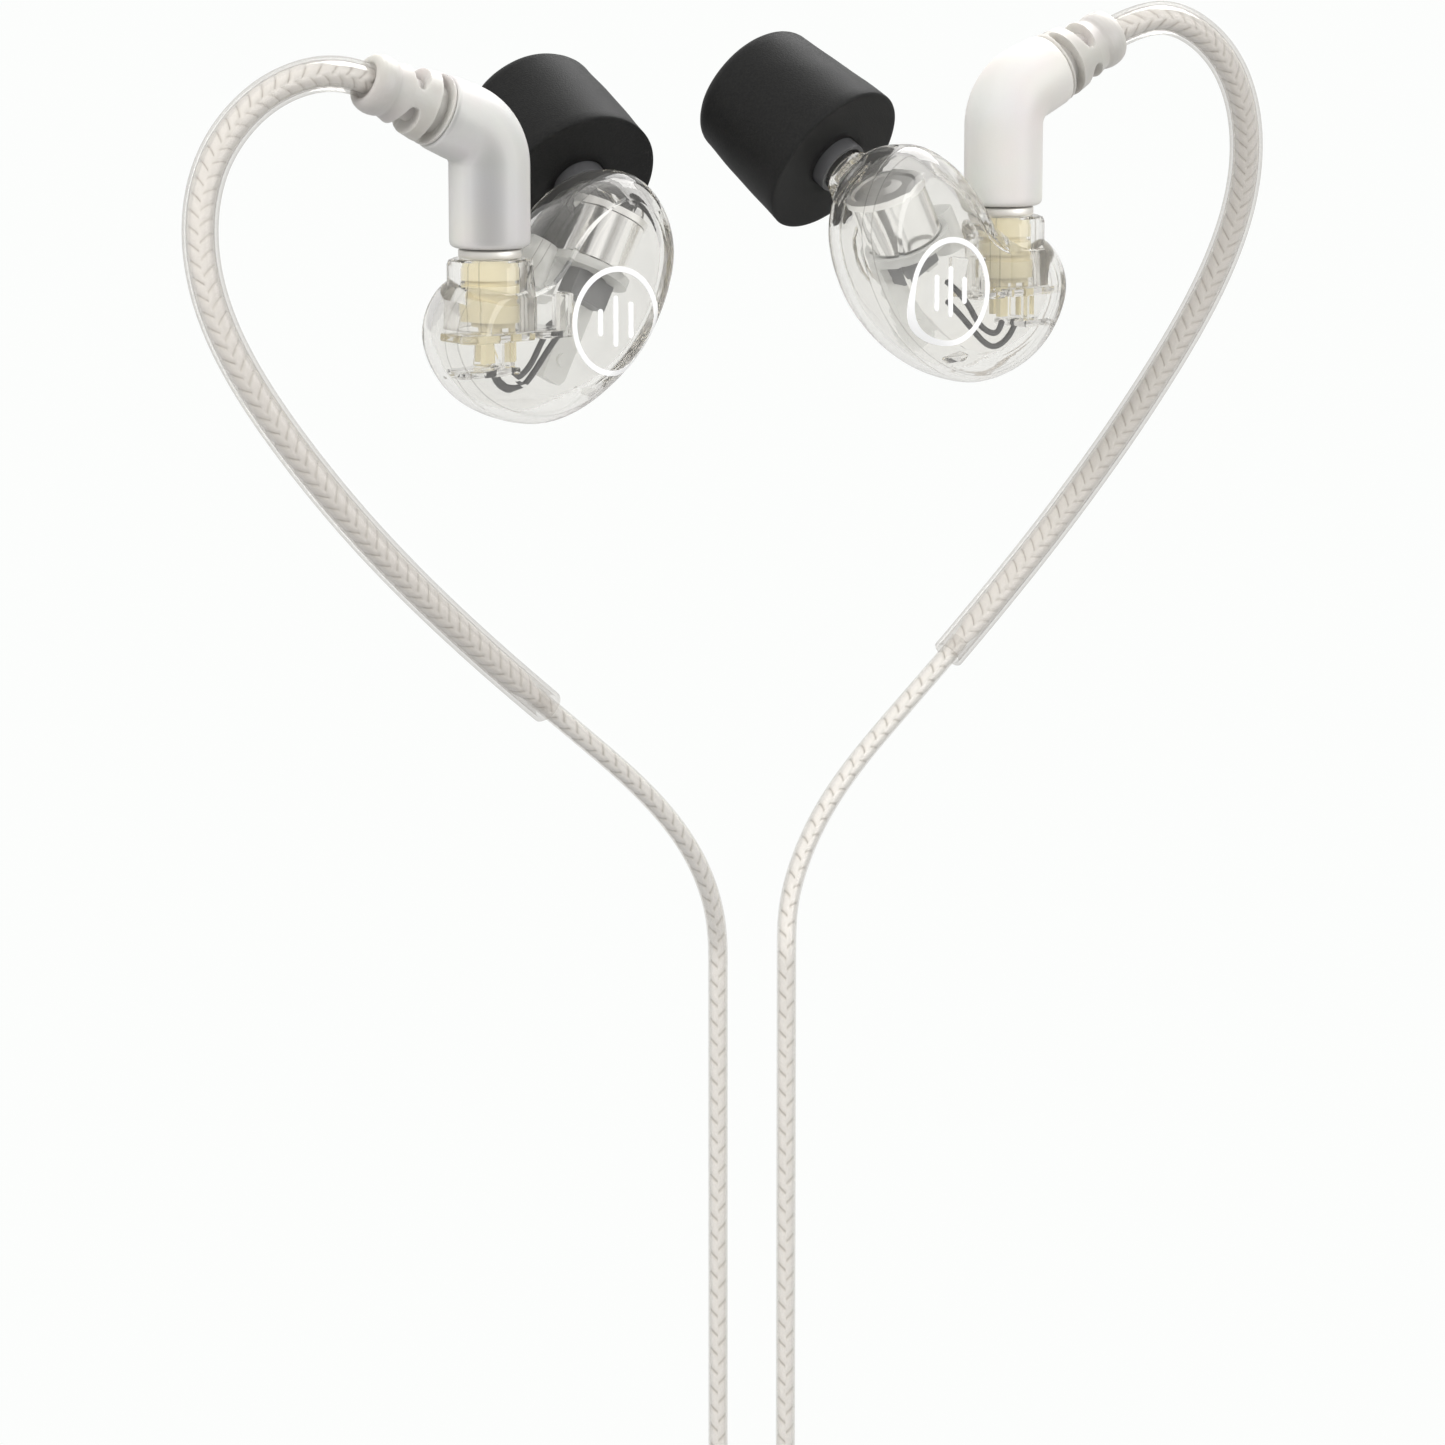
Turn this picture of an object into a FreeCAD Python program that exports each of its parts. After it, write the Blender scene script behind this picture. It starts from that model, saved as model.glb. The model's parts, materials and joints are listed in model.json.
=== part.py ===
"""Wired in-ear monitors: two earpieces on detachable elbow plugs, ear hooks, cable and 3.5 mm jack.

Millimetres. The origin is on the jack's axis at the shoulder its socket stops on. +Z runs up
the cable to the earpieces, the faceplates are seen from -Y, and left and right are as seen
from -Y, so left is -X.
"""
import FreeCAD, Part
import math
import os

os.makedirs("parts", exist_ok=True)
Vector = FreeCAD.Vector
ORIGIN = Vector(0, 0, 0)
X_AXIS = Vector(1, 0, 0)
Y_AXIS = Vector(0, 1, 0)
Z_AXIS = Vector(0, 0, 1)

# ---------------------------------------------------------------- driving dimensions
# 3.5 mm jack
JACK_R = 1.75
SLEEVE_L = 6.6
INSULATOR_L = 0.7
RING_L = 2.4
TIP_L = 3.6
HANDLE_R = 4.1
HANDLE_TOP = 18.0
JACK_RELIEF_TOP = 28.0
HANDLE_GROOVES = 12

# main cable and the two leads
MAIN_R = 1.20
MAIN_BORE_R = 1.00
MAIN_CORE_R = 0.97
LEAD_R = 0.75
LEAD_BORE_R = 0.60
LEAD_CORE_R = 0.575
LEAD_X = 2.6365
CABLE_GAP = 0.02        # cable to the split's bores
RELIEF_BORE_R = MAIN_R + 0.03

# split and cinch slider
SPLIT_BOTTOM = 51.0
SPLIT_TOP = 66.0
SPLIT_RELIEF_BOTTOM = 42.0
MAIN_TOP = SPLIT_BOTTOM + 4.8
LEAD_BOTTOM = SPLIT_TOP - 6.0
SLIDER_BOTTOM = 70.0
SLIDER_TOP = 79.0
SLIDER_BORE_R = 0.80

# splay point, where each lead turns away from its straight lower run
PIVOT_Z = 123.405
JACKET_GAP = 0.30       # from the splay point to each jacket end
LOWER_CORE_GAP = 0.2
PIVOT_BALL_GAP = 0.03

HOOK_R = 1.30
HOOK_BORE_R = 0.85

# elbow plug
BARREL_R = 3.0
BARREL_BOTTOM = 0.8
FOOT_H = 0.5
CORNER = Vector(0, 0, 9.1)
BEND_R = 3.6
ARM_RISE = math.radians(22.5)
ARM = Vector(math.cos(ARM_RISE), 0, math.sin(ARM_RISE))
ARM_L = 11.2
ARM_BORE_R = 0.80
ELBOW_END = 4.8
COLLAR_R = 2.0
NOSE_R = 1.50
NOSE_BORE_R = 1.15
NOSE_L = 2.6
GROOVE_R = 1.30
GROOVE_GAP = 0.06
SNAP_IN_R = 1.34
SNAP_OUT_R = 1.58
SNAP_Z = (-1.95, -1.45)
PIN_R = 0.25

# earpiece
PART_Y = -1.2           # plane where the two shell halves meet
BOSS_R = 3.20
BOSS_GAP = 0.03
BOSS_BORE_R = 2.20
SOCKET_R = 2.15
SOCKET_WAIST_R = 1.85
SOCKET_BORE_R = 1.62
NOZZLE_BASE = Vector(12.67, 5.33, 4.46)
NOZZLE_DIR = Vector(0.138, 0.824, 0.549)
NOZZLE_R = 1.50
NOZZLE_BORE_R = 1.00
NOZZLE_END = 5.5
BARB_R = 1.68
TIP_CORE_R = 2.10
TIP_CORE_BORE_R = 1.75
TIP_CORE_Z = (-1.0, 9.6)
FOAM_BORE_R = TIP_CORE_R + 0.02
FOAM_NEAR_R = 6.25
FOAM_FAR_R = 5.35
FOAM_L = 10.3
FOAM_EDGE_R = 1.5
FOAM_CHAMFER = 0.3
DRIVER_RIM = Vector(11.9, 0.8, 2.7)
DRIVER_DIR = Vector(0.479, 0.0, 0.878)
EMBLEM_X = 9.0
EMBLEM_Z = -5.0
EMBLEM_R = 4.1
EMBLEM_LINE = 0.42
EMBLEM_T = 0.08
STROKE_R = 0.22

# shell outline, (x, z), anticlockwise seen from -Y
OUTLINE = [
    (-3.0, -1.9), (-4.5, -3.5), (-5.1, -5.6), (-4.4, -8.0), (-2.1, -10.6),
    (0.9, -12.0), (4.4, -12.4), (7.8, -11.4), (11.1, -9.3), (13.8, -6.4),
    (15.5, -3.0), (16.0, 0.0), (15.2, 2.9), (13.3, 5.1), (10.9, 5.9),
    (8.4, 5.2), (6.1, 3.6), (4.2, 1.5), (2.4, -0.6), (-0.4, -1.5),
]
OUTLINE_CENTRE = (8.2, -2.6)

# shell stations: (y, inset of the outline, scale about its centre)
OUTER_SECTIONS = [
    (-3.5, 1.30, 0.900), (-3.2, 0.85, 0.945), (-2.5, 0.40, 0.980), (-1.2, 0.0, 1.0),
    (0.6, 0.0, 1.0), (2.2, 0.0, 0.965), (3.6, 0.0, 0.86), (4.8, 0.0, 0.70),
    (5.6, 0.0, 0.50), (6.0, 0.0, 0.28),
]
CAVITY_SECTIONS = [
    (-2.5, 1.30, 0.860), (-2.2, 1.15, 0.905), (-1.6, 1.05, 0.955), (-0.6, 1.0, 1.0),
    (0.8, 1.0, 1.0), (2.2, 1.05, 0.96), (3.4, 1.1, 0.84), (4.3, 1.1, 0.66), (4.9, 1.1, 0.42),
]

# bars inside the faceplate half: (x0, x1, z0, z1, y of the free face)
RIB_BACK_Y = -3.0
RIBS = [
    (-3.7, 1.9, -5.95, -5.4, -1.35), (-3.4, 0.5, -8.35, -7.85, -1.35),
    (2.6, 5.5, -5.95, -5.45, -1.4), (4.75, 5.5, -5.9, -2.7, -1.4),
    (-0.5, 0.0, -7.9, -5.9, -1.6), (6.3, 8.0, -10.2, -9.8, -1.5),
]

# centre lines of the two hook-up wires, (x, y, z) in the earpiece
WIRE_R = 0.23
WIRE_PATHS = [
    [(0.95, -0.55, -7.9), (1.5, -0.5, -8.8), (2.9, -0.3, -8.3),
     (4.0, -0.2, -6.9), (5.2, 0.0, -5.5), (6.3, 0.2, -4.6)],
    [(-0.7, -0.5, -7.9), (0.1, -0.4, -9.2), (1.6, -0.3, -9.9),
     (3.2, -0.2, -9.0), (4.8, 0.0, -7.4), (6.2, 0.2, -6.1)],
]

# centre line of each lead from the plug's arm down to the splay point, (x, y, z)
LEFT_PATH = [
    (-30.64, -15.55, 192.17), (-33.80, -17.50, 191.36), (-36.45, -19.46, 189.32),
    (-38.29, -21.34, 186.44), (-39.09, -23.03, 183.05), (-38.94, -24.24, 179.36),
    (-37.98, -24.86, 175.70), (-36.40, -24.96, 172.18), (-34.43, -24.64, 168.81),
    (-32.28, -24.02, 165.61), (-30.06, -23.16, 162.55), (-27.79, -22.07, 159.62),
    (-25.47, -20.79, 156.81), (-23.12, -19.34, 154.11), (-20.74, -17.74, 151.49),
    (-18.35, -16.03, 148.94), (-15.95, -14.21, 146.45), (-13.56, -12.33, 144.00),
    (-11.20, -10.40, 141.56), (-8.94, -8.45, 139.08), (-6.88, -6.50, 136.47),
    (-5.11, -4.59, 133.65), (-3.74, -2.73, 130.55), (-2.88, -1.07, 127.12),
]
RIGHT_PATH = [
    (31.81, 15.76, 194.59), (34.99, 17.50, 193.25), (37.30, 19.20, 190.62),
    (38.64, 20.84, 187.28), (39.12, 22.38, 183.65), (38.85, 23.69, 179.94),
    (37.92, 24.62, 176.23), (36.47, 25.07, 172.61), (34.65, 25.10, 169.10),
    (32.61, 24.80, 165.71), (30.46, 24.24, 162.45), (28.22, 23.44, 159.31),
    (25.92, 22.41, 156.30), (23.57, 21.16, 153.40), (21.17, 19.73, 150.61),
    (18.75, 18.12, 147.93), (16.32, 16.34, 145.35), (13.89, 14.42, 142.88),
    (11.48, 12.37, 140.49), (9.15, 10.22, 138.15), (6.99, 7.99, 135.75),
    (5.13, 5.71, 133.17), (3.67, 3.42, 130.30), (2.78, 1.33, 127.06),
]

# connector: mouth of the earpiece's boss; turn and arm_azimuth: degrees about +Z
SIDES = {
    "left": dict(connector=Vector(-19.3965, -8.0, 178.24), turn=40.0, arm_azimuth=213.0,
                 lead_x=-LEAD_X, path=LEFT_PATH, hook_end=Vector(-15.373, -13.3, 145.927)),
    "right": dict(connector=Vector(19.1565, 8.0, 180.01), turn=42.0, arm_azimuth=35.0,
                  lead_x=LEAD_X, path=RIGHT_PATH, hook_end=Vector(16.302, 12.9, 146.125)),
}


# ---------------------------------------------------------------- helpers
def unit(direction):
    result = Vector(direction)
    result.normalize()
    return result


def cylinder(radius, z0, z1, x=0.0, y=0.0):
    return Part.makeCylinder(radius, z1 - z0, Vector(x, y, z0), Z_AXIS)


def tube(outer_r, inner_r, z0, z1):
    return cylinder(outer_r, z0, z1).cut(cylinder(inner_r, z0 - 0.5, z1 + 0.5))


def revolve(profile):
    """Solid turned about Z from a closed list of (radius, z) corners."""
    points = [Vector(radius, 0, z) for radius, z in profile]
    face = Part.Face(Part.makePolygon(points + [points[0]]))
    return face.revolve(ORIGIN, Z_AXIS, 360)


def fuse_all(shapes):
    result = shapes[0]
    for shape in shapes[1:]:
        result = result.fuse(shape)
    return result


def carry(shape, base, direction):
    """Carry a shape built about Z to a base point and direction."""
    moved = shape.copy()
    moved.Placement = FreeCAD.Placement(base, FreeCAD.Rotation(Z_AXIS, unit(direction)))
    return moved


def sweep(curve, outer_r, inner_r=None):
    """Round rod along the curve, or a tube if inner_r is given."""
    start = curve.value(curve.FirstParameter)
    tangent = curve.tangent(curve.FirstParameter)[0]
    radii = [outer_r, inner_r] if inner_r else [outer_r]
    wires = [Part.Wire([Part.Edge(Part.Circle(start, tangent, radius))]) for radius in radii]
    face = Part.Face(wires if inner_r else wires[0])
    return Part.Wire([curve.toShape()]).makePipe(face)


def curve_piece(curve, start, end):
    piece = curve.copy()
    piece.segment(start, end)
    return piece


def as_solid(shape):
    """The shape's only solid, or a compound of its solids."""
    if shape.ShapeType == "Solid":
        return shape
    solids = shape.Solids
    return solids[0] if len(solids) == 1 else Part.makeCompound(solids)


def save(name, shape):
    shape = as_solid(shape)
    if not shape.isValid():
        shape.fix(0.001, 0.001, 0.001)
    shape.exportStep("parts/%s.step" % name)


# ---------------------------------------------------------------- earpiece
# Built about its connector: z = 0 at the boss mouth, boss axis on Z, faceplate towards -Y.
def inset_outline(inset):
    points = []
    for i, (x, z) in enumerate(OUTLINE):
        before = OUTLINE[i - 1]
        after = OUTLINE[(i + 1) % len(OUTLINE)]
        along_x = after[0] - before[0]
        along_z = after[1] - before[1]
        length = math.hypot(along_x, along_z)
        # the inward normal of an anticlockwise outline is (-along_z, along_x)
        points.append((x - along_z / length * inset, z + along_x / length * inset))
    return points


def shell_section(y, inset, scale):
    centre_x, centre_z = OUTLINE_CENTRE
    curve = Part.BSplineCurve()
    curve.interpolate(
        Points=[Vector(centre_x + scale * (x - centre_x), y, centre_z + scale * (z - centre_z))
                for x, z in inset_outline(inset)],
        PeriodicFlag=True)
    return Part.Wire([curve.toShape()])


def shell_loft(sections, shrink=1.0):
    """Loft of shell stations; shrink below 1 draws them in towards the outline's centre."""
    wires = [shell_section(y, inset, scale * shrink) for y, inset, scale in sections]
    return Part.makeLoft(wires, True, False)


def slab(y0, y1):
    """Wide block between two Y planes."""
    return Part.makeBox(60, y1 - y0, 60, Vector(-30, y0, -30))


def make_shell_inner(outer, cavity):
    """+Y half of the shell, with the nozzle and the connector boss."""
    nozzle = revolve([
        (0, -4.2), (3.6, -4.2), (3.1, -3.4), (2.5, -2.6), (2.1, -1.9), (1.95, -1.5),
        (NOZZLE_R, -1.5), (NOZZLE_R, 3.4), (BARB_R, 3.7), (BARB_R, 4.1), (NOZZLE_R, 4.6),
        (NOZZLE_R, NOZZLE_END), (0, NOZZLE_END)])
    nozzle = carry(nozzle, NOZZLE_BASE, NOZZLE_DIR)
    sound_bore = carry(cylinder(NOZZLE_BORE_R, -5.2, NOZZLE_END + 0.5), NOZZLE_BASE, NOZZLE_DIR)
    boss = revolve([
        (0, -5.2), (BOSS_R, -5.2), (BOSS_R, -0.45), (BOSS_R - 0.12, -0.13),
        (BOSS_R - 0.45, 0.0), (0, 0.0)])
    half = outer.common(slab(PART_Y, 30)).cut(cavity)
    half = half.fuse(nozzle.cut(cavity)).fuse(boss)
    return half.cut(cylinder(BOSS_BORE_R, -6.6, 0.5)).cut(sound_bore)


def make_shell_outer(outer, cavity):
    """Faceplate half of the shell, with bars on its inside."""
    half = outer.common(slab(-30, PART_Y)).cut(cavity)
    for x0, x1, z0, z1, free_y in RIBS:
        rib = Part.makeBox(x1 - x0, free_y - RIB_BACK_Y, z1 - z0, Vector(x0, RIB_BACK_Y, z0))
        edges_along_y = [edge for edge in rib.Edges
                         if abs(edge.tangentAt(edge.FirstParameter).y) > 0.9]
        half = half.fuse(rib.makeFillet(0.16, edges_along_y).common(outer))
    return half.cut(cylinder(BOSS_R + BOSS_GAP, -5.23, 0.5))


def make_emblem(outer):
    """Thin ring with three round-ended bars, following the faceplate."""
    start_y = -3.8
    depth = 2.3

    def disc(radius, x, z):
        return Part.makeCylinder(radius, depth, Vector(x, start_y, z), Y_AXIS)

    mark = disc(EMBLEM_R, EMBLEM_X, EMBLEM_Z)
    mark = mark.cut(disc(EMBLEM_R - EMBLEM_LINE, EMBLEM_X, EMBLEM_Z))
    for offset, half_length in ((-1.45, 0.8), (0.0, 1.7), (1.45, 1.15)):
        x = EMBLEM_X + offset
        bottom = EMBLEM_Z - half_length
        stroke = Part.makeBox(2 * STROKE_R, depth, 2 * half_length,
                              Vector(x - STROKE_R, start_y, bottom))
        stroke = stroke.fuse(disc(STROKE_R, x, bottom))
        mark = mark.fuse(stroke.fuse(disc(STROKE_R, x, EMBLEM_Z + half_length)))
    raised = outer.copy()
    raised.translate(Vector(0, -EMBLEM_T, 0))
    return Part.makeCompound(mark.common(raised).cut(outer).Solids)


def on_driver(shape):
    """Carry a part laid out about the dynamic driver's axis into the shell."""
    return carry(shape, DRIVER_RIM, DRIVER_DIR)


def make_driver_can():
    return on_driver(revolve([(0, -4.6), (2.4, -4.6), (2.7, -4.3), (2.7, -0.55), (0, -0.55)]))


def make_driver_diaphragm():
    """Rim and domed diaphragm."""
    return on_driver(revolve([
        (0, -0.5), (2.85, -0.5), (2.85, 0.0), (2.3, 0.0), (2.1, -0.15), (1.3, -0.10),
        (0.7, 0.12), (0, 0.2)]))


def make_ba_driver():
    """Balanced armature box below the can, with its spout."""
    box = Part.makeBox(3.6, 1.6, 2.1, Vector(-1.4, -0.8, -7.2))
    return on_driver(box.fuse(cylinder(0.45, -5.1, -4.7, 1.2)))


def make_driver_chassis():
    """Collar and plate behind the can, with a leg, a pillar and a hollow block below."""
    chassis = fuse_all([
        tube(3.15, 2.75, -5.2, -4.5),
        tube(3.15, 1.5, -5.2, -4.75),
        Part.makeBox(2.1, 0.8, 8.3, Vector(0.5, 1.0, -13.4)),
        Part.makeCylinder(0.5, 0.35, Vector(1.55, 0.7, -11.6), Y_AXIS),
        Part.makeBox(1.1, 0.9, 3.4, Vector(-2.6, 1.0, -8.5)),
        cylinder(1.30, -8.0, -4.6, -4.25, 1.0).cut(cylinder(0.8, -8.3, -5.7, -4.25, 1.0)),
        Part.makeBox(1.3, 0.5, 0.45, Vector(-3.2, 0.75, -5.1)),
    ])
    # clearance round the armature box and its spout
    chassis = chassis.cut(Part.makeBox(3.64, 1.64, 2.14, Vector(-1.42, -0.82, -7.22)))
    chassis = chassis.cut(cylinder(0.47, -5.3, -4.4, 1.2))
    # trimmed where it would meet the shell wall; loose offcuts are dropped
    chassis = on_driver(chassis).common(shell_loft(CAVITY_SECTIONS, shrink=0.985))
    return max(chassis.Solids, key=lambda piece: piece.Volume)


def make_socket():
    """Coaxial socket with two grooves round it."""
    return revolve([
        (SOCKET_BORE_R, -0.3), (SOCKET_R, -0.3), (SOCKET_R, -1.5), (SOCKET_WAIST_R, -1.5),
        (SOCKET_WAIST_R, -1.9), (SOCKET_R, -1.9), (SOCKET_R, -2.85), (SOCKET_WAIST_R, -2.85),
        (SOCKET_WAIST_R, -3.35), (SOCKET_R, -3.35), (SOCKET_R, -4.6), (SOCKET_BORE_R, -4.6)])


def make_socket_insulator():
    """Disc and central post, bored from both ends."""
    body = cylinder(1.60, -4.6, -3.3).fuse(cylinder(0.52, -3.3, -1.4))
    return body.cut(cylinder(0.30, -3.0, -1.0)).cut(cylinder(0.30, -5.0, -3.6))


def make_socket_terminals():
    """Three legs below a disc, with a centre pin above it."""
    legs = []
    for degrees in (90, 210, 330):
        x = 1.2 * math.cos(math.radians(degrees))
        y = 1.2 * math.sin(math.radians(degrees))
        legs.append(Part.makeBox(0.8, 0.45, 2.9, Vector(x - 0.4, y - 0.22, -7.62)))
    return fuse_all(legs + [cylinder(1.55, -5.0, -4.64), cylinder(0.27, -4.9, -3.7)])


def make_lead_wires():
    wires = []
    for path in WIRE_PATHS:
        curve = Part.BSplineCurve()
        curve.interpolate(Points=[Vector(*point) for point in path])
        wires.append(as_solid(sweep(curve, WIRE_R)))
    return Part.makeCompound(wires)


def make_wax_filter():
    """Disc in the nozzle mouth with six holes round a central one."""
    disc = cylinder(0.97, 5.0, 5.25)
    for k in range(6):
        angle = math.radians(60 * k)
        hole = cylinder(0.15, 4.5, 6.0, 0.55 * math.cos(angle), 0.55 * math.sin(angle))
        disc = disc.cut(hole)
    return carry(disc.cut(cylinder(0.15, 4.5, 6.0)), NOZZLE_BASE, NOZZLE_DIR)


def make_foam():
    """Tapered foam tip with a rounded far edge."""
    arc_z = FOAM_L - FOAM_EDGE_R
    arc_r = FOAM_FAR_R - FOAM_EDGE_R
    diagonal = math.sqrt(0.5) * FOAM_EDGE_R
    bore_near = Vector(FOAM_BORE_R, 0, 0)
    bore_far = Vector(FOAM_BORE_R, 0, FOAM_L)
    chamfer_in = Vector(FOAM_NEAR_R - FOAM_CHAMFER, 0, 0)
    chamfer_out = Vector(FOAM_NEAR_R, 0, FOAM_CHAMFER)
    arc_start = Vector(FOAM_FAR_R, 0, arc_z)
    arc_middle = Vector(arc_r + diagonal, 0, arc_z + diagonal)
    arc_end = Vector(arc_r, 0, FOAM_L)
    edges = [
        Part.makeLine(bore_near, chamfer_in),
        Part.makeLine(chamfer_in, chamfer_out),
        Part.makeLine(chamfer_out, arc_start),
        Part.Arc(arc_start, arc_middle, arc_end).toShape(),
        Part.makeLine(arc_end, bore_far),
        Part.makeLine(bore_far, bore_near),
    ]
    foam = Part.Face(Part.Wire(edges)).revolve(ORIGIN, Z_AXIS, 360)
    return carry(foam, NOZZLE_BASE, NOZZLE_DIR)


def make_tip_core():
    return carry(tube(TIP_CORE_R, TIP_CORE_BORE_R, *TIP_CORE_Z), NOZZLE_BASE, NOZZLE_DIR)


def make_earpiece():
    outer = shell_loft(OUTER_SECTIONS)
    cavity = shell_loft(CAVITY_SECTIONS)
    return {
        "shell_inner": make_shell_inner(outer, cavity),
        "shell_outer": make_shell_outer(outer, cavity),
        "face_emblem": make_emblem(outer),
        "driver_can": make_driver_can(),
        "driver_diaphragm": make_driver_diaphragm(),
        "ba_driver": make_ba_driver(),
        "driver_chassis": make_driver_chassis(),
        "mmcx_socket": make_socket(),
        "socket_insulator": make_socket_insulator(),
        "socket_terminals": make_socket_terminals(),
        "lead_wires": make_lead_wires(),
        "wax_filter": make_wax_filter(),
        "ear_tip_foam": make_foam(),
        "ear_tip_core": make_tip_core(),
    }


# ---------------------------------------------------------------- elbow plug
# Built on the connector's axis, z = 0 at the boss mouth, with its arm rising towards +X.
def make_elbow():
    tangent_l = BEND_R * math.tan((math.pi / 2 - ARM_RISE) / 2)
    bottom = Vector(0, 0, BARREL_BOTTOM + FOOT_H)
    bend_start = Vector(0, 0, CORNER.z - tangent_l)
    bend_end = CORNER + ARM * tangent_l
    bend_centre = bend_start + Vector(BEND_R, 0, 0)
    bend_middle = bend_centre + unit(CORNER - bend_centre) * BEND_R
    path = Part.Wire([
        Part.makeLine(bottom, bend_start),
        Part.Arc(bend_start, bend_middle, bend_end).toShape(),
        Part.makeLine(bend_end, CORNER + ARM * ELBOW_END)])
    profile = Part.Face(Part.Wire([Part.Edge(Part.Circle(bottom, Z_AXIS, BARREL_R))]))
    body = path.makePipe(profile)
    body = body.fuse(Part.makeCone(BARREL_R - 0.4, BARREL_R, FOOT_H,
                                   Vector(0, 0, BARREL_BOTTOM)))
    body = body.cut(cylinder(1.66, 0.0, 3.4))
    return body.cut(carry(cylinder(ARM_BORE_R, 1.0, 6.0), CORNER, ARM))


def make_strain_relief():
    """Ringed sleeve on the arm, its bore widening to take the ear hook."""
    start = ELBOW_END + 0.02
    relief = revolve([
        (0, start), (2.05, start), (2.05, 5.6), (2.52, 5.7), (2.48, 7.1), (1.85, 7.25),
        (1.85, 7.75), (2.36, 7.9), (2.30, 9.1), (1.80, 9.25), (1.80, 9.7), (2.20, 9.85),
        (2.12, 11.1), (1.98, ARM_L), (0, ARM_L)])
    relief = relief.cut(cylinder(ARM_BORE_R, 4.0, 9.0)).cut(cylinder(1.45, 8.4, 12.0))
    # a pair of opposite slots in each groove, the second pair a quarter turn on
    for z, degrees in ((7.5, 0), (7.5, 180), (9.47, 90), (9.47, 270)):
        slot = Part.makeBox(0.5, 6.0, 0.42, Vector(1.50, -3.0, z - 0.21))
        slot.rotate(ORIGIN, Z_AXIS, degrees)
        relief = relief.cut(slot)
    return carry(relief, CORNER, ARM)


def make_plug_collar():
    """Collar and hollow nose, grooved for the snap ring."""
    groove_bottom = SNAP_Z[0] - GROOVE_GAP
    groove_top = SNAP_Z[1] + GROOVE_GAP
    return revolve([
        (NOSE_BORE_R, -NOSE_L), (NOSE_R - 0.1, -NOSE_L), (NOSE_R, -NOSE_L + 0.1),
        (NOSE_R, groove_bottom), (GROOVE_R, groove_bottom), (GROOVE_R, groove_top),
        (NOSE_R, groove_top), (NOSE_R, 0.05), (COLLAR_R, 0.05), (COLLAR_R, 0.78),
        (1.60, 0.78), (1.60, 3.3), (0.6, 3.3), (0.6, 0.2), (NOSE_BORE_R, 0.2)])


def make_snap_ring():
    """Ring with a slit on its +X side."""
    return tube(SNAP_OUT_R, SNAP_IN_R, *SNAP_Z).cut(
        Part.makeBox(3, 0.45, 2, Vector(0, -0.22, -2.6)))


def make_plug():
    return {
        "elbow": make_elbow(),
        "strain_relief": make_strain_relief(),
        "plug_collar": make_plug_collar(),
        "plug_pin": cylinder(PIN_R, -2.4, 3.2).fuse(cylinder(0.56, 0.3, 3.2)),
        "snap_ring": make_snap_ring(),
    }


def place(shape, degrees, connector):
    """Turn a shape about Z, then carry it to its connector."""
    moved = shape.copy()
    moved.rotate(ORIGIN, Z_AXIS, degrees)
    moved.translate(connector)
    return moved


# ---------------------------------------------------------------- leads and ear hooks
def save_lead(side, connector, arm_azimuth, lead_x, path, hook_end):
    azimuth = math.radians(arm_azimuth)
    arm = Vector(ARM.x * math.cos(azimuth), ARM.x * math.sin(azimuth), ARM.z)
    corner = connector + CORNER
    pivot = Vector(lead_x, 0.0, PIVOT_Z)

    # the first points keep the lead straight inside the arm
    points = [corner + arm * distance for distance in (5.1, 8.0, 11.0)]
    points += [Vector(*point) for point in path] + [pivot]
    curve = Part.BSplineCurve()
    curve.interpolate(Points=points, InitialTangent=unit(arm), FinalTangent=Vector(0, 0, -1))
    hook_piece = curve_piece(
        curve, curve.parameter(corner + arm * 8.8), curve.parameter(hook_end))
    jacket_piece = curve_piece(
        curve, curve.parameter(corner + arm * 5.6),
        curve.parameter(pivot + Vector(0, 0, JACKET_GAP)))

    core = as_solid(sweep(curve, LEAD_CORE_R)).fuse(Part.makeSphere(LEAD_CORE_R, pivot))
    save(side + "_lead_core", core)
    save(side + "_lead_jacket", sweep(jacket_piece, LEAD_R, LEAD_BORE_R))
    save(side + "_ear_hook", sweep(hook_piece, HOOK_R, HOOK_BORE_R))

    # straight run from the splay point down into the split, cupped under the core's ball
    lower_core = cylinder(LEAD_CORE_R, LEAD_BOTTOM, PIVOT_Z - LOWER_CORE_GAP, lead_x)
    lower_core = lower_core.cut(Part.makeSphere(LEAD_CORE_R + PIVOT_BALL_GAP, pivot))
    save(side + "_lower_core", lower_core)
    lower_jacket = cylinder(LEAD_R, LEAD_BOTTOM, PIVOT_Z - JACKET_GAP, lead_x)
    lower_jacket = lower_jacket.cut(cylinder(LEAD_BORE_R, LEAD_BOTTOM - 1, PIVOT_Z, lead_x))
    save(side + "_lower_jacket", lower_jacket)


# ---------------------------------------------------------------- slider, split, sleeves
def oval(width, depth, z):
    """Round-ended wire, width along X and depth along Y."""
    radius = depth / 2
    half = width / 2 - radius
    return Part.Wire([
        Part.makeLine(Vector(-half, -radius, z), Vector(half, -radius, z)),
        Part.Arc(Vector(half, -radius, z), Vector(half + radius, 0, z),
                 Vector(half, radius, z)).toShape(),
        Part.makeLine(Vector(half, radius, z), Vector(-half, radius, z)),
        Part.Arc(Vector(-half, radius, z), Vector(-half - radius, 0, z),
                 Vector(-half, -radius, z)).toShape()])


def oval_block(stations, bore_r, bore_bottom, bore_top):
    """Ruled loft of (width, depth, z) ovals with a bore for each lead."""
    block = Part.makeLoft([oval(*station) for station in stations], True, True)
    for x in (-LEAD_X, LEAD_X):
        block = block.cut(cylinder(bore_r, bore_bottom, bore_top, x))
    return block


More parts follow.
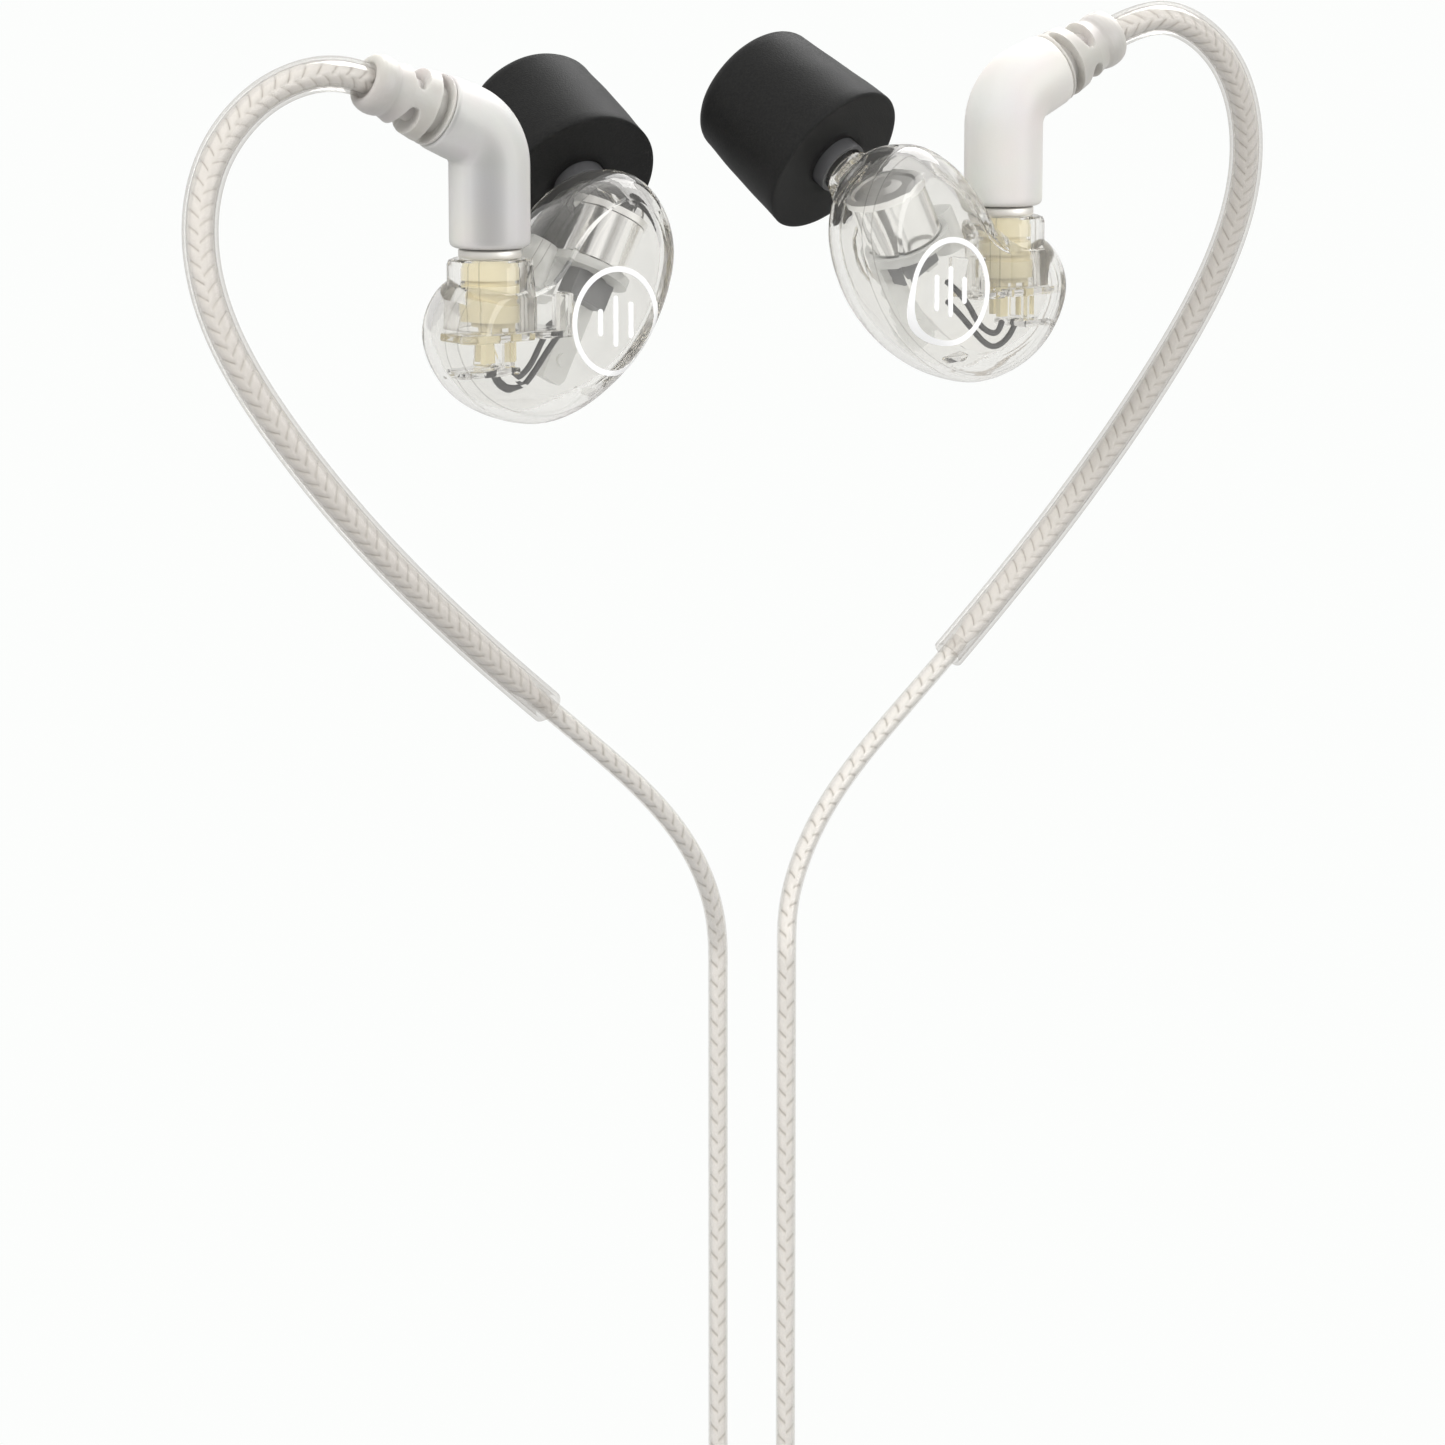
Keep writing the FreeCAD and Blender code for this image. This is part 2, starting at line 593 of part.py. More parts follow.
def make_slider():
    stations = [(9.0, 3.6, SLIDER_BOTTOM), (10.4, 4.8, SLIDER_BOTTOM + 1.4),
                (10.4, 4.8, SLIDER_TOP - 1.4), (9.0, 3.6, SLIDER_TOP)]
    return oval_block(stations, SLIDER_BORE_R, SLIDER_BOTTOM - 1, SLIDER_TOP + 1)


def make_split():
    stations = [(6.4, 6.0, SPLIT_BOTTOM), (7.4, 6.2, SPLIT_BOTTOM + 5),
                (10.6, 5.6, SPLIT_TOP - 3.0), (10.6, 5.4, SPLIT_TOP - 0.8),
                (9.6, 4.4, SPLIT_TOP)]
    split = oval_block(stations, LEAD_R + CABLE_GAP, LEAD_BOTTOM - 0.1, SPLIT_TOP + 1)
    return split.cut(cylinder(MAIN_R + CABLE_GAP, SPLIT_BOTTOM - 1, SPLIT_BOTTOM + 5.1))


def flex_sleeve(z0, z1, r0, r1, rings=5):
    """Sleeve of rings and grooves round the main cable, tapering from r0 at z0 to r1 at z1."""
    profile = [(RELIEF_BORE_R, z0)]
    step = (z1 - z0) / rings
    for i in range(rings):
        top = z0 + (i + 1) * step
        bottom_r = r0 + (r1 - r0) * i / rings
        top_r = r0 + (r1 - r0) * (i + 1) / rings
        groove_r = min(bottom_r, top_r) - 0.45
        profile += [(bottom_r, z0 + i * step), (top_r, top - 0.45 * step)]
        if i < rings - 1:
            profile += [(groove_r, top - 0.40 * step), (groove_r, top - 0.05 * step)]
        else:
            profile += [(top_r, top)]
    profile.append((RELIEF_BORE_R, z1))
    return revolve(profile)


# ---------------------------------------------------------------- 3.5 mm jack
# contact boundaries down from the shoulder at z = 0
SLEEVE_END = -SLEEVE_L
RING_TOP = SLEEVE_END - INSULATOR_L
RING_BOTTOM = RING_TOP - RING_L
TIP_TOP = RING_BOTTOM - INSULATOR_L
TIP_END = TIP_TOP - TIP_L


def make_jack_handle():
    handle = revolve([
        (0, 0.02), (3.6, 0.02), (3.9, 0.3), (HANDLE_R, 1.2), (HANDLE_R, 12.5), (3.9, 14.5),
        (3.5, 16.6), (3.3, HANDLE_TOP), (0, HANDLE_TOP)])
    for bore in ((RELIEF_BORE_R, 11.8, 19), (2.65, -0.5, 1.55), (1.5, 1.0, 12.0)):
        handle = handle.cut(cylinder(*bore))
    groove_centre_r = HANDLE_R + 0.15
    for k in range(HANDLE_GROOVES):
        angle = math.radians(360 / HANDLE_GROOVES * k)
        handle = handle.cut(cylinder(0.35, 4.0, 11.0, groove_centre_r * math.cos(angle),
                                     groove_centre_r * math.sin(angle)))
    return handle


def make_jack_sleeve():
    return revolve([
        (1.42, SLEEVE_END), (JACK_R, SLEEVE_END), (JACK_R, 0.0), (2.6, 0.0), (2.6, 1.5),
        (1.42, 1.5)])


def make_jack_insulators():
    """Bands above and below the ring contact, each with a tube running up inside."""
    upper = revolve([
        (1.17, RING_TOP), (JACK_R, RING_TOP), (JACK_R, SLEEVE_END), (1.40, SLEEVE_END),
        (1.40, 2.2), (1.17, 2.2)])
    lower = revolve([
        (0.57, TIP_TOP), (JACK_R, TIP_TOP), (JACK_R, RING_BOTTOM), (0.86, RING_BOTTOM),
        (0.86, 3.6), (0.57, 3.6)])
    return Part.makeCompound([upper, lower])


def make_jack_ring():
    return revolve([
        (0.88, RING_BOTTOM), (JACK_R, RING_BOTTOM), (JACK_R, RING_TOP), (1.15, RING_TOP),
        (1.15, 2.9), (0.88, 2.9)])


def make_jack_tip():
    """Waisted tip contact and its central rod."""
    return revolve([
        (0, TIP_END), (0.45, TIP_END), (0.95, TIP_END + 0.45), (1.55, TIP_END + 1.35),
        (1.55, TIP_END + 1.6), (1.15, TIP_END + 2.3), (1.15, TIP_END + 2.6),
        (JACK_R, TIP_END + 3.2), (JACK_R, TIP_TOP), (0.55, TIP_TOP), (0.55, 4.6), (0, 4.6)])


# ---------------------------------------------------------------- build
earpiece = make_earpiece()
plug = make_plug()
for side, spec in SIDES.items():
    for name, shape in earpiece.items():
        if side == "right":
            shape = shape.mirror(ORIGIN, X_AXIS)
        save("%s_%s" % (side, name), place(shape, spec["turn"], spec["connector"]))
    for name, shape in plug.items():
        save("%s_%s" % (side, name), place(shape, spec["arm_azimuth"], spec["connector"]))
    save_lead(side, spec["connector"], spec["arm_azimuth"], spec["lead_x"], spec["path"],
              spec["hook_end"])

save("cinch_slider", make_slider())
save("y_split", make_split())
save("split_relief", flex_sleeve(SPLIT_RELIEF_BOTTOM, SPLIT_BOTTOM - 0.02, 2.0, 2.9))
save("main_core", cylinder(MAIN_CORE_R, 9.0, MAIN_TOP))
save("main_jacket", tube(MAIN_R, MAIN_BORE_R, 12.0, MAIN_TOP))
save("jack_relief", flex_sleeve(HANDLE_TOP + 0.02, JACK_RELIEF_TOP, 3.1, 2.0))
save("jack_handle", make_jack_handle())
save("jack_sleeve", make_jack_sleeve())
save("jack_insulators", make_jack_insulators())
save("jack_ring", make_jack_ring())
save("jack_tip", make_jack_tip())
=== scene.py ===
"""A pair of wired in-ear earphones hanging upright, with ear hooks, a split and a straight plug cable.

World frame: Z up, the front faces -Y and the left side is at -X. The cable runs up the Z axis, splits
in two and each lead arcs over and down to the elbow on its earpiece. Dimensions are in mm and are
scaled by MM when they become mesh data.
"""
import json
import math

import bmesh
import bpy
import numpy as np
from mathutils import Matrix, Vector

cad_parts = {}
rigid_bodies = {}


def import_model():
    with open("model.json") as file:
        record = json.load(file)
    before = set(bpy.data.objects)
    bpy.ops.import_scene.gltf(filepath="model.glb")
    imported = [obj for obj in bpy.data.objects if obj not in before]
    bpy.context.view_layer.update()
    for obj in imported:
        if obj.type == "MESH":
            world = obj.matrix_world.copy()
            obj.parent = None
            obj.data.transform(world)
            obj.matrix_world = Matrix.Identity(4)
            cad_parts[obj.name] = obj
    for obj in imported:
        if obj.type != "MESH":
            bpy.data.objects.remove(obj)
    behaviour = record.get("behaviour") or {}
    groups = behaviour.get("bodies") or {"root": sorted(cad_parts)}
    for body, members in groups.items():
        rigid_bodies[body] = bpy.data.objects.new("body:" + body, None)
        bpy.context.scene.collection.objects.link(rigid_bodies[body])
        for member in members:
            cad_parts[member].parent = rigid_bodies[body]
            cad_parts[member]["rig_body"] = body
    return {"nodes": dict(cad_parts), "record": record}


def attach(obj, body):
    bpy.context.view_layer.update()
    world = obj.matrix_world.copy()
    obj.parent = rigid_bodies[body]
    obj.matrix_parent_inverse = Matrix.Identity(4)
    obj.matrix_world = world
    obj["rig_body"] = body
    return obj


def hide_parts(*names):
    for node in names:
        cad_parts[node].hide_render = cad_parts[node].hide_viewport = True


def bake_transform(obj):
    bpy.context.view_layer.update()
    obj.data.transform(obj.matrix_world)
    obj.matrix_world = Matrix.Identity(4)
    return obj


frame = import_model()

for stray in [o for o in bpy.data.objects
              if o.type in ("MESH", "LIGHT", "CAMERA") and "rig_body" not in o]:
    bpy.data.objects.remove(stray)
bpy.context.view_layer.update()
MM = 0.001
SIDES = ("left", "right")

# ------------------------------------------------------------------ shared dimensions, mm
LEAD_X = {"left": -2.6365, "right": 2.6365}      # the straight parts of the leads
PIVOT_Z = 123.405                                # where the curved part of a lead turns straight
LEAD_LOW_Z = 60.2                                # lower limit of the leads
LEAD_STEP = 0.10                                 # spacing of rings along the leads

# Origin shared by the earpiece and plug frames of each side, and their turns about Z in degrees.
EAR_ORIGIN = {"left": (-19.3965, -8.0, 178.24), "right": (19.1565, 8.0, 180.01)}
EAR_TURN = {"left": 40.0, "right": 42.0}
ARM_AZIMUTH = {"left": 213.0, "right": 35.0}
ARM_RISE = math.radians(22.5)
CORNER_Z = 9.1                                   # elbow corner, in the plug frame

# Ear tip, in the earpiece frame.
TIP_BASE = (12.67, 5.33, 4.46)
TIP_DIR = (0.138, 0.824, 0.549)
JOINT_Y = -1.2                                   # joint plane of the clear shell halves

HOOK_START = 3.8                                 # distance along the lead line
HOOK_END = {"left": (-15.373, -13.3, 145.927), "right": (16.302, 12.9, 146.125)}

# Lead centre lines from above the elbow down towards the pivot: x, y, z in the world.
PATH = {
    "left": [
        (-30.64, -15.55, 192.17), (-33.80, -17.50, 191.36), (-36.45, -19.46, 189.32),
        (-38.29, -21.34, 186.44), (-39.09, -23.03, 183.05), (-38.94, -24.24, 179.36),
        (-37.98, -24.86, 175.70), (-36.40, -24.96, 172.18), (-34.43, -24.64, 168.81),
        (-32.28, -24.02, 165.61), (-30.06, -23.16, 162.55), (-27.79, -22.07, 159.62),
        (-25.47, -20.79, 156.81), (-23.12, -19.34, 154.11), (-20.74, -17.74, 151.49),
        (-18.35, -16.03, 148.94), (-15.95, -14.21, 146.45), (-13.56, -12.33, 144.00),
        (-11.20, -10.40, 141.56), (-8.94, -8.45, 139.08), (-6.88, -6.50, 136.47),
        (-5.11, -4.59, 133.65), (-3.74, -2.73, 130.55), (-2.88, -1.07, 127.12)],
    "right": [
        (31.81, 15.76, 194.59), (34.99, 17.50, 193.25), (37.30, 19.20, 190.62),
        (38.64, 20.84, 187.28), (39.12, 22.38, 183.65), (38.85, 23.69, 179.94),
        (37.92, 24.62, 176.23), (36.47, 25.07, 172.61), (34.65, 25.10, 169.10),
        (32.61, 24.80, 165.71), (30.46, 24.24, 162.45), (28.22, 23.44, 159.31),
        (25.92, 22.41, 156.30), (23.57, 21.16, 153.40), (21.17, 19.73, 150.61),
        (18.75, 18.12, 147.93), (16.32, 16.34, 145.35), (13.89, 14.42, 142.88),
        (11.48, 12.37, 140.49), (9.15, 10.22, 138.15), (6.99, 7.99, 135.75),
        (5.13, 5.71, 133.17), (3.67, 3.42, 130.30), (2.78, 1.33, 127.06)],
}


# ------------------------------------------------------------------ frames
def turned(points, degrees):
    a = math.radians(degrees)
    matrix = np.array([[math.cos(a), -math.sin(a), 0], [math.sin(a), math.cos(a), 0], [0, 0, 1.0]])
    return points @ matrix.T


def ear_to_world(side, points):
    """The earpiece frame is mirrored in X on the right side."""
    points = np.array(points, float)
    if side == "right":
        points[:, 0] *= -1
    return turned(points, EAR_TURN[side]) + np.array(EAR_ORIGIN[side])


def plug_to_world(side, points):
    """The plug frame has its Z up the barrel and its arm leaning towards +X."""
    return turned(points, ARM_AZIMUTH[side]) + np.array(EAR_ORIGIN[side])


def lay_along(points, base, direction, x_hint=(1.0, 0, 0)):
    """Carries a shape built about Z to a base point and a direction."""
    z = np.asarray(direction, float) / np.linalg.norm(direction)
    hint = np.asarray(x_hint, float)
    x = hint - z * (hint @ z)
    x /= np.linalg.norm(x)
    axes = np.stack([x, np.cross(z, x), z], 1)
    return points @ axes.T + np.asarray(base, float)


def arm_direction(azimuth=0.0):
    a = math.radians(azimuth)
    return np.array([math.cos(ARM_RISE) * math.cos(a), math.cos(ARM_RISE) * math.sin(a),
                     math.sin(ARM_RISE)])


# ------------------------------------------------------------------ mesh helpers
def new_object(name, verts_mm, faces, material, sharp=None):
    """Smooth-shaded object; edges steeper than `sharp` degrees stay sharp."""
    mesh = bpy.data.meshes.new(name)
    mesh.from_pydata([tuple(float(c) * MM for c in v) for v in verts_mm], [], faces)
    mesh.validate()
    mesh.update()
    bm = bmesh.new()
    bm.from_mesh(mesh)
    bmesh.ops.recalc_face_normals(bm, faces=bm.faces)
    bm.to_mesh(mesh)
    bm.free()
    mesh.polygons.foreach_set("use_smooth", [True] * len(mesh.polygons))
    if sharp is not None:
        mesh.set_sharp_from_angle(angle=math.radians(sharp))
    made = bpy.data.objects.new(name, mesh)
    bpy.context.scene.collection.objects.link(made)
    mesh.materials.append(material)
    return made


def add_piece(name, verts, faces, material, replaces=(), slot=None, ride=None, sharp=None):
    made = new_object(name, verts, faces, MAT[material], sharp)
    if replaces:
        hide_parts(*replaces)
    if ride:
        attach(made, ride)
    return made


def add_uv(made, name, values):
    """UV layer from one pair of values per vertex."""
    layer = made.data.uv_layers.new(name=name)
    index = np.zeros(len(made.data.loops), np.int32)
    made.data.loops.foreach_get("vertex_index", index)
    layer.data.foreach_set("uv", np.asarray(values, np.float32)[index].ravel())


def bridge(start_a, start_b, sides):
    """Quads between two rings, given by the index of their first vertices."""
    faces = []
    for k in range(sides):
        k2 = (k + 1) % sides
        faces.append((start_a + k, start_a + k2, start_b + k2, start_b + k))
    return faces


def grid_faces(rings, sides, offset=0):
    faces = []
    for i in range(rings - 1):
        faces += bridge(offset + i * sides, offset + (i + 1) * sides, sides)
    return faces


def end_caps(rings, sides):
    return [tuple(range(sides))[::-1], tuple(range((rings - 1) * sides, rings * sides))]


def loop_profile(profile, sides):
    """Revolves a closed (radius, z) loop that never touches the axis."""
    verts = []
    for radius, z in profile:
        for k in range(sides):
            a = 2 * math.pi * k / sides
            verts.append((radius * math.cos(a), radius * math.sin(a), z))
    faces = grid_faces(len(profile), sides) + bridge((len(profile) - 1) * sides, 0, sides)
    return np.array(verts, float), faces


# ------------------------------------------------------------------ centre lines and sweeps
def spline(knots, step, start_slope=None, end_slope=None):
    """Even points on a cubic spline and their distances; an end without a slope is natural."""
    P = np.asarray(knots, float)
    t = np.concatenate([[0], np.cumsum(np.linalg.norm(np.diff(P, axis=0), axis=1))])
    count = len(P)
    h = np.diff(t)
    system = np.zeros((count, count))
    rhs = np.zeros((count, 3))
    for i in range(1, count - 1):
        system[i, i - 1:i + 2] = h[i - 1], 2 * (h[i - 1] + h[i]), h[i]
        rhs[i] = 6 * ((P[i + 1] - P[i]) / h[i] - (P[i] - P[i - 1]) / h[i - 1])
    if start_slope is None:
        system[0, 0] = 1
    else:
        system[0, 0], system[0, 1] = 2 * h[0], h[0]
        rhs[0] = 6 * ((P[1] - P[0]) / h[0] - np.asarray(start_slope))
    if end_slope is None:
        system[-1, -1] = 1
    else:
        system[-1, -1], system[-1, -2] = 2 * h[-1], h[-1]
        rhs[-1] = 6 * (np.asarray(end_slope) - (P[-1] - P[-2]) / h[-1])
    M = np.linalg.solve(system, rhs)

    # fine samples, then even spacing along them
    fine_step = 0.05
    x = np.linspace(0, t[-1], int(t[-1] / fine_step) + 1)
    k = np.clip(np.searchsorted(t, x) - 1, 0, count - 2)
    a, b = (t[k + 1] - x)[:, None], (x - t[k])[:, None]
    hk = h[k][:, None]
    fine = ((M[k] * a ** 3 + M[k + 1] * b ** 3) / (6 * hk)
            + (P[k] / hk - M[k] * hk / 6) * a + (P[k + 1] / hk - M[k + 1] * hk / 6) * b)
    s = np.concatenate([[0], np.cumsum(np.linalg.norm(np.diff(fine, axis=0), axis=1))])
    even = np.linspace(0, s[-1], int(round(s[-1] / step)) + 1)
    return np.stack([np.interp(even, s, fine[:, c]) for c in range(3)], 1), even


def transport(line):
    """Tangents, and two normals carried along the line without twist."""
    tangent = np.gradient(line, axis=0)
    tangent /= np.linalg.norm(tangent, axis=1)[:, None]
    normal = np.zeros_like(line)
    v = np.cross(tangent[0], (0, 0, 1.0))
    v = v / np.linalg.norm(v)
    for i in range(len(line)):
        v = v - tangent[i] * (v @ tangent[i])
        v /= np.linalg.norm(v)
        normal[i] = v
    return tangent, normal, np.cross(tangent, normal)


def lead_line(side):
    """Centre line from the elbow's arm to the foot of the lead, and distances along it."""
    x = LEAD_X[side]
    arm = arm_direction(ARM_AZIMUTH[side])
    corner = np.array(EAR_ORIGIN[side]) + np.array([0, 0, CORNER_Z])
    knots = [corner + arm * reach for reach in (5.1, 8.0, 11.0)]
    knots += [np.array(p) for p in PATH[side]] + [np.array([x, 0, PIVOT_Z])]
    line, _ = spline(knots, LEAD_STEP, arm, (0, 0, -1.0))
    count = int((PIVOT_Z - LEAD_LOW_Z) / LEAD_STEP)
    tail = np.array([[x, 0, PIVOT_Z - LEAD_STEP * (k + 1)] for k in range(count)])
    line = np.vstack([line, tail])
    s = np.concatenate([[0], np.cumsum(np.linalg.norm(np.diff(line, axis=0), axis=1))])
    return line, s


def sweep_tube(line, normal, binormal, radius, sides):
    """Round sweep with open ends; the radius is one number or one per ring."""
    r = np.full(len(line), radius, float) if np.isscalar(radius) else np.asarray(radius, float)
    a = 2 * np.pi * np.arange(sides) / sides
    spokes = (np.cos(a)[None, :, None] * normal[:, None, :]
              + np.sin(a)[None, :, None] * binormal[:, None, :])
    verts = line[:, None, :] + r[:, None, None] * spokes
    return verts.reshape(-1, 3), grid_faces(len(line), sides)


def hollow_tube(line, normal, binormal, outer, inner, sides):
    """Tube with a wall, closed by a flat ring at both ends."""
    rings = len(line)
    outer_verts, faces = sweep_tube(line, normal, binormal, outer, sides)
    inner_verts, _ = sweep_tube(line, normal, binormal, inner, sides)
    off = rings * sides
    last = (rings - 1) * sides
    faces += [tuple(reversed(f)) for f in grid_faces(rings, sides, offset=off)]
    for j in range(sides):
        j2 = (j + 1) % sides
        faces.append((j2, j, off + j, off + j2))
        faces.append((last + j, last + j2, off + last + j2, off + last + j))
    return np.vstack([outer_verts, inner_verts]), faces


def braid_mesh(line, wide, deep, s, radius, pitch, sides=48):
    """Round plait. `wide` points across it and `deep` from front to back. Strands run from both
    sides to the middle as the distance grows; each side is half a strand out of step."""
    slant = 0.84
    groove_depth = 0.11
    valley_depth = 0.05
    full_radius = 0.93      # radius at which those depths hold
    rings = len(line)
    angle = 2 * np.pi * (np.arange(sides) + 0.5) / sides
    across, out = np.cos(angle), np.sin(angle)
    hand = np.where(across > 0, 0.5, 0.0)
    turns = np.concatenate([[0], np.cumsum(np.diff(s) / pitch[1:])])
    phase = (turns[:, None] + (slant * radius / pitch)[:, None] * np.abs(across)[None, :]
             + hand[None, :])
    phase = phase - np.floor(phase)
    edge = np.abs(2 * phase - 1)
    # rounded strand: full in the middle, falling into a groove at its two edges
    groove = np.maximum(np.clip((0.14 - phase) / 0.14, 0, 1) ** 1.4,
                        np.clip((phase - 0.52) / 0.48, 0, 1) ** 2.0)
    # the two sides meet in a shallow valley
    valley = np.exp(-(across / 0.16) ** 2)[None, :] * (0.35 + 0.65 * edge)
    k = (radius / full_radius)[:, None]
    R = radius[:, None] - groove_depth * k * groove - valley_depth * k * valley
    verts = line[:, None, :] + R[:, :, None] * (across[None, :, None] * wide[:, None, :]
                                                + out[None, :, None] * deep[:, None, :])
    # colour keys: nearness to a strand's edge, which sets the painted groove shade, then distance
    # along or place across the cord
    along = np.stack([np.clip(edge, 0, 1).ravel(), np.repeat(s, sides)], 1)
    strand = np.stack([edge.ravel(), np.tile(np.abs(across), rings)
                       + 0.37 * np.repeat(np.floor(turns), sides)], 1)
    faces = grid_faces(rings, sides) + end_caps(rings, sides)
    return verts.reshape(-1, 3), faces, along, strand


def add_braid(name, line, wide, deep, s, radius, pitch, **told):
    verts, faces, along, strand = braid_mesh(line, wide, deep, s, radius, pitch)
    made = add_piece(name, verts, faces, "braid", **told)
    add_uv(made, "along", along)
    add_uv(made, "strand", strand)
    return made


# ------------------------------------------------------------------ shader helpers
def new_material(name):
    made = bpy.data.materials.new(name)
    made.use_nodes = True
    made.node_tree.nodes.clear()
    return made, made.node_tree


def finish(made, shader):
    node(made.node_tree, "OutputMaterial", {"Surface": shader.outputs[0]})
    return made


def node(tree, kind, inputs=None, **settings):
    """Adds a shader node. `inputs` maps a socket's name or index to a source socket or a value;
    a setting is an input's name, with underscores for spaces, or else a property."""
    made = tree.nodes.new("ShaderNode" + kind)
    for key, value in settings.items():
        socket_name = key.replace("_", " ")
        if socket_name in made.inputs:
            made.inputs[socket_name].default_value = value
        else:
            setattr(made, key, value)
    for key, value in (inputs or {}).items():
        if isinstance(value, bpy.types.NodeSocket):
            tree.links.new(value, made.inputs[key])
        else:
            made.inputs[key].default_value = value
    return made


def math_node(tree, operation, *values):
    return node(tree, "Math", dict(enumerate(values)), operation=operation).outputs[0]


def mix_shader(tree, factor, first, second):
    return node(tree, "MixShader", {0: factor, 1: first.outputs[0], 2: second.outputs[0]})


def mix_color(tree, factor, first, second, blend="MIX"):
    made = node(tree, "Mix", {0: factor, 6: first, 7: second}, data_type="RGBA", blend_type=blend)
    return made.outputs[2]


def ramp(tree, factor, stops):
    """Colour ramp from (position, rgb) stops."""
    made = node(tree, "ValToRGB", {"Fac": factor})
    elements = made.color_ramp.elements
    while len(elements) > 1:
        elements.remove(elements[-1])
    elements[0].position, elements[0].color = stops[0][0], (*stops[0][1], 1)
    for position, color in stops[1:]:
        elements.new(position).color = (*color, 1)
    return made.outputs["Color"]


def object_coords(tree):
    return node(tree, "TexCoord").outputs["Object"]


def noise(tree, vector, scale, detail):
    return node(tree, "TexNoise", {"Vector": vector}, Scale=scale, Detail=detail)


def bump(tree, height, strength, distance):
    made = node(tree, "Bump", {"Height": height}, Strength=strength, Distance=distance)
    return made.outputs["Normal"]


def noise_bump(tree, scale, strength, distance, detail=4.0, coords=None):
    height = noise(tree, coords or object_coords(tree), scale, detail).outputs["Fac"]
    return bump(tree, height, strength, distance)


def vary(tree, first, second, scale):
    """Colour that drifts between two shades."""
    factor = noise(tree, object_coords(tree), scale, detail=3.0).outputs["Fac"]
    return ramp(tree, factor, [(0.35, first), (0.65, second)])


def facing(tree):
    return node(tree, "LayerWeight", Blend=0.5).outputs["Facing"]


def let_light_through(tree, solid, clear):
    """Shadow and diffuse rays see the clear shader, so that what is inside is lit."""
    path = node(tree, "LightPath")
    passing = math_node(tree, "MAXIMUM", path.outputs["Is Shadow Ray"],
                        path.outputs["Is Diffuse Ray"])
    return mix_shader(tree, passing, solid, clear)


# ------------------------------------------------------------------ materials
def mat_ledge():
    made, tree = new_material("clear_ledge")
    normal = noise_bump(tree, scale=420.0, strength=0.10, distance=0.0002, detail=2.0)
    glass = node(tree, "BsdfGlass", {"Normal": normal}, IOR=1.36, Roughness=0.02,
                 Color=(1.0, 1.0, 1.0, 1))
    return finish(made, let_light_through(tree, glass, node(tree, "BsdfTransparent")))


def mat_clear_shell(side):
    """Polished clear plastic. The halves meet glass to glass, so their joint bends no light."""
    made, tree = new_material("clear_shell_" + side)
    shell_tint = (0.970, 0.966, 0.957, 1)
    line_tint = (0.76, 0.75, 0.735, 1)
    plane_reach = 0.02      # mm from the joint plane that count as lying in it
    line_reach = 0.045      # mm from the joint plane that are darkened as a line
    coords = object_coords(tree)
    normal = noise_bump(tree, scale=160.0, strength=0.04, distance=0.0002, detail=2.0,
                        coords=coords)
    glass = node(tree, "BsdfGlass", {"Normal": normal}, IOR=1.47, Roughness=0.0, Color=shell_tint)
    # a little haze, as moulded plastic has
    haze = node(tree, "BsdfDiffuse", Color=(0.62, 0.61, 0.59, 1))
    hazy = mix_shader(tree, 0.035, glass, haze)
    clear = node(tree, "BsdfTransparent", Color=(0.93, 0.93, 0.92, 1))
    solid = let_light_through(tree, hazy, clear)

    # distance from the joint plane
    a = math.radians(EAR_TURN[side])
    across = (-math.sin(a), math.cos(a), 0.0)
    offset = sum(EAR_ORIGIN[side][i] * MM * across[i] for i in range(3)) + JOINT_Y * MM
    place = node(tree, "VectorMath", {0: coords, 1: across}, operation="DOT_PRODUCT")
    signed = math_node(tree, "SUBTRACT", place.outputs["Value"], offset)
    distance = math_node(tree, "ABSOLUTE", signed)
    near = math_node(tree, "LESS_THAN", distance, plane_reach * MM)

    # whether the surface is parallel to that plane
    true_normal = node(tree, "NewGeometry").outputs["True Normal"]
    local = node(tree, "VectorTransform", {0: true_normal}, vector_type="NORMAL",
                 convert_from="WORLD", convert_to="OBJECT")
    lean = node(tree, "VectorMath", {0: local.outputs[0], 1: across}, operation="DOT_PRODUCT")
    square = math_node(tree, "ABSOLUTE", lean.outputs["Value"])
    flat = math_node(tree, "GREATER_THAN", square, 0.995)
    in_joint = math_node(tree, "MULTIPLY", near, flat)

    line = math_node(tree, "LESS_THAN", distance, line_reach * MM)
    tree.links.new(mix_color(tree, line, shell_tint, line_tint), glass.inputs["Color"])
    return finish(made, mix_shader(tree, in_joint, solid, node(tree, "BsdfTransparent")))


def mat_tubing(name, centre, edge, reflection, haze):
    """Thin clear tubing: the inside shows undistorted, walls change tint towards the silhouette."""
    made, tree = new_material(name)
    between = tuple(0.5 * (a + b) for a, b in zip(centre, edge))
    tint = ramp(tree, facing(tree), [(0.0, centre), (0.45, centre), (0.75, between), (1.0, edge)])
    clear = node(tree, "BsdfTransparent", {"Color": tint})
    normal = noise_bump(tree, scale=900.0, strength=0.12, distance=0.0001, detail=2.0)
    gloss = node(tree, "BsdfGlossy", {"Normal": normal}, Roughness=0.10,
                 Color=(0.95, 0.95, 0.94, 1))
    fresnel = node(tree, "Fresnel", IOR=1.42).outputs[0]
    shine = math_node(tree, "MULTIPLY", fresnel, reflection)
    milk = node(tree, "BsdfDiffuse", Color=(0.70, 0.675, 0.645, 1))
    return finish(made, mix_shader(tree, shine, mix_shader(tree, haze, clear, milk), gloss))


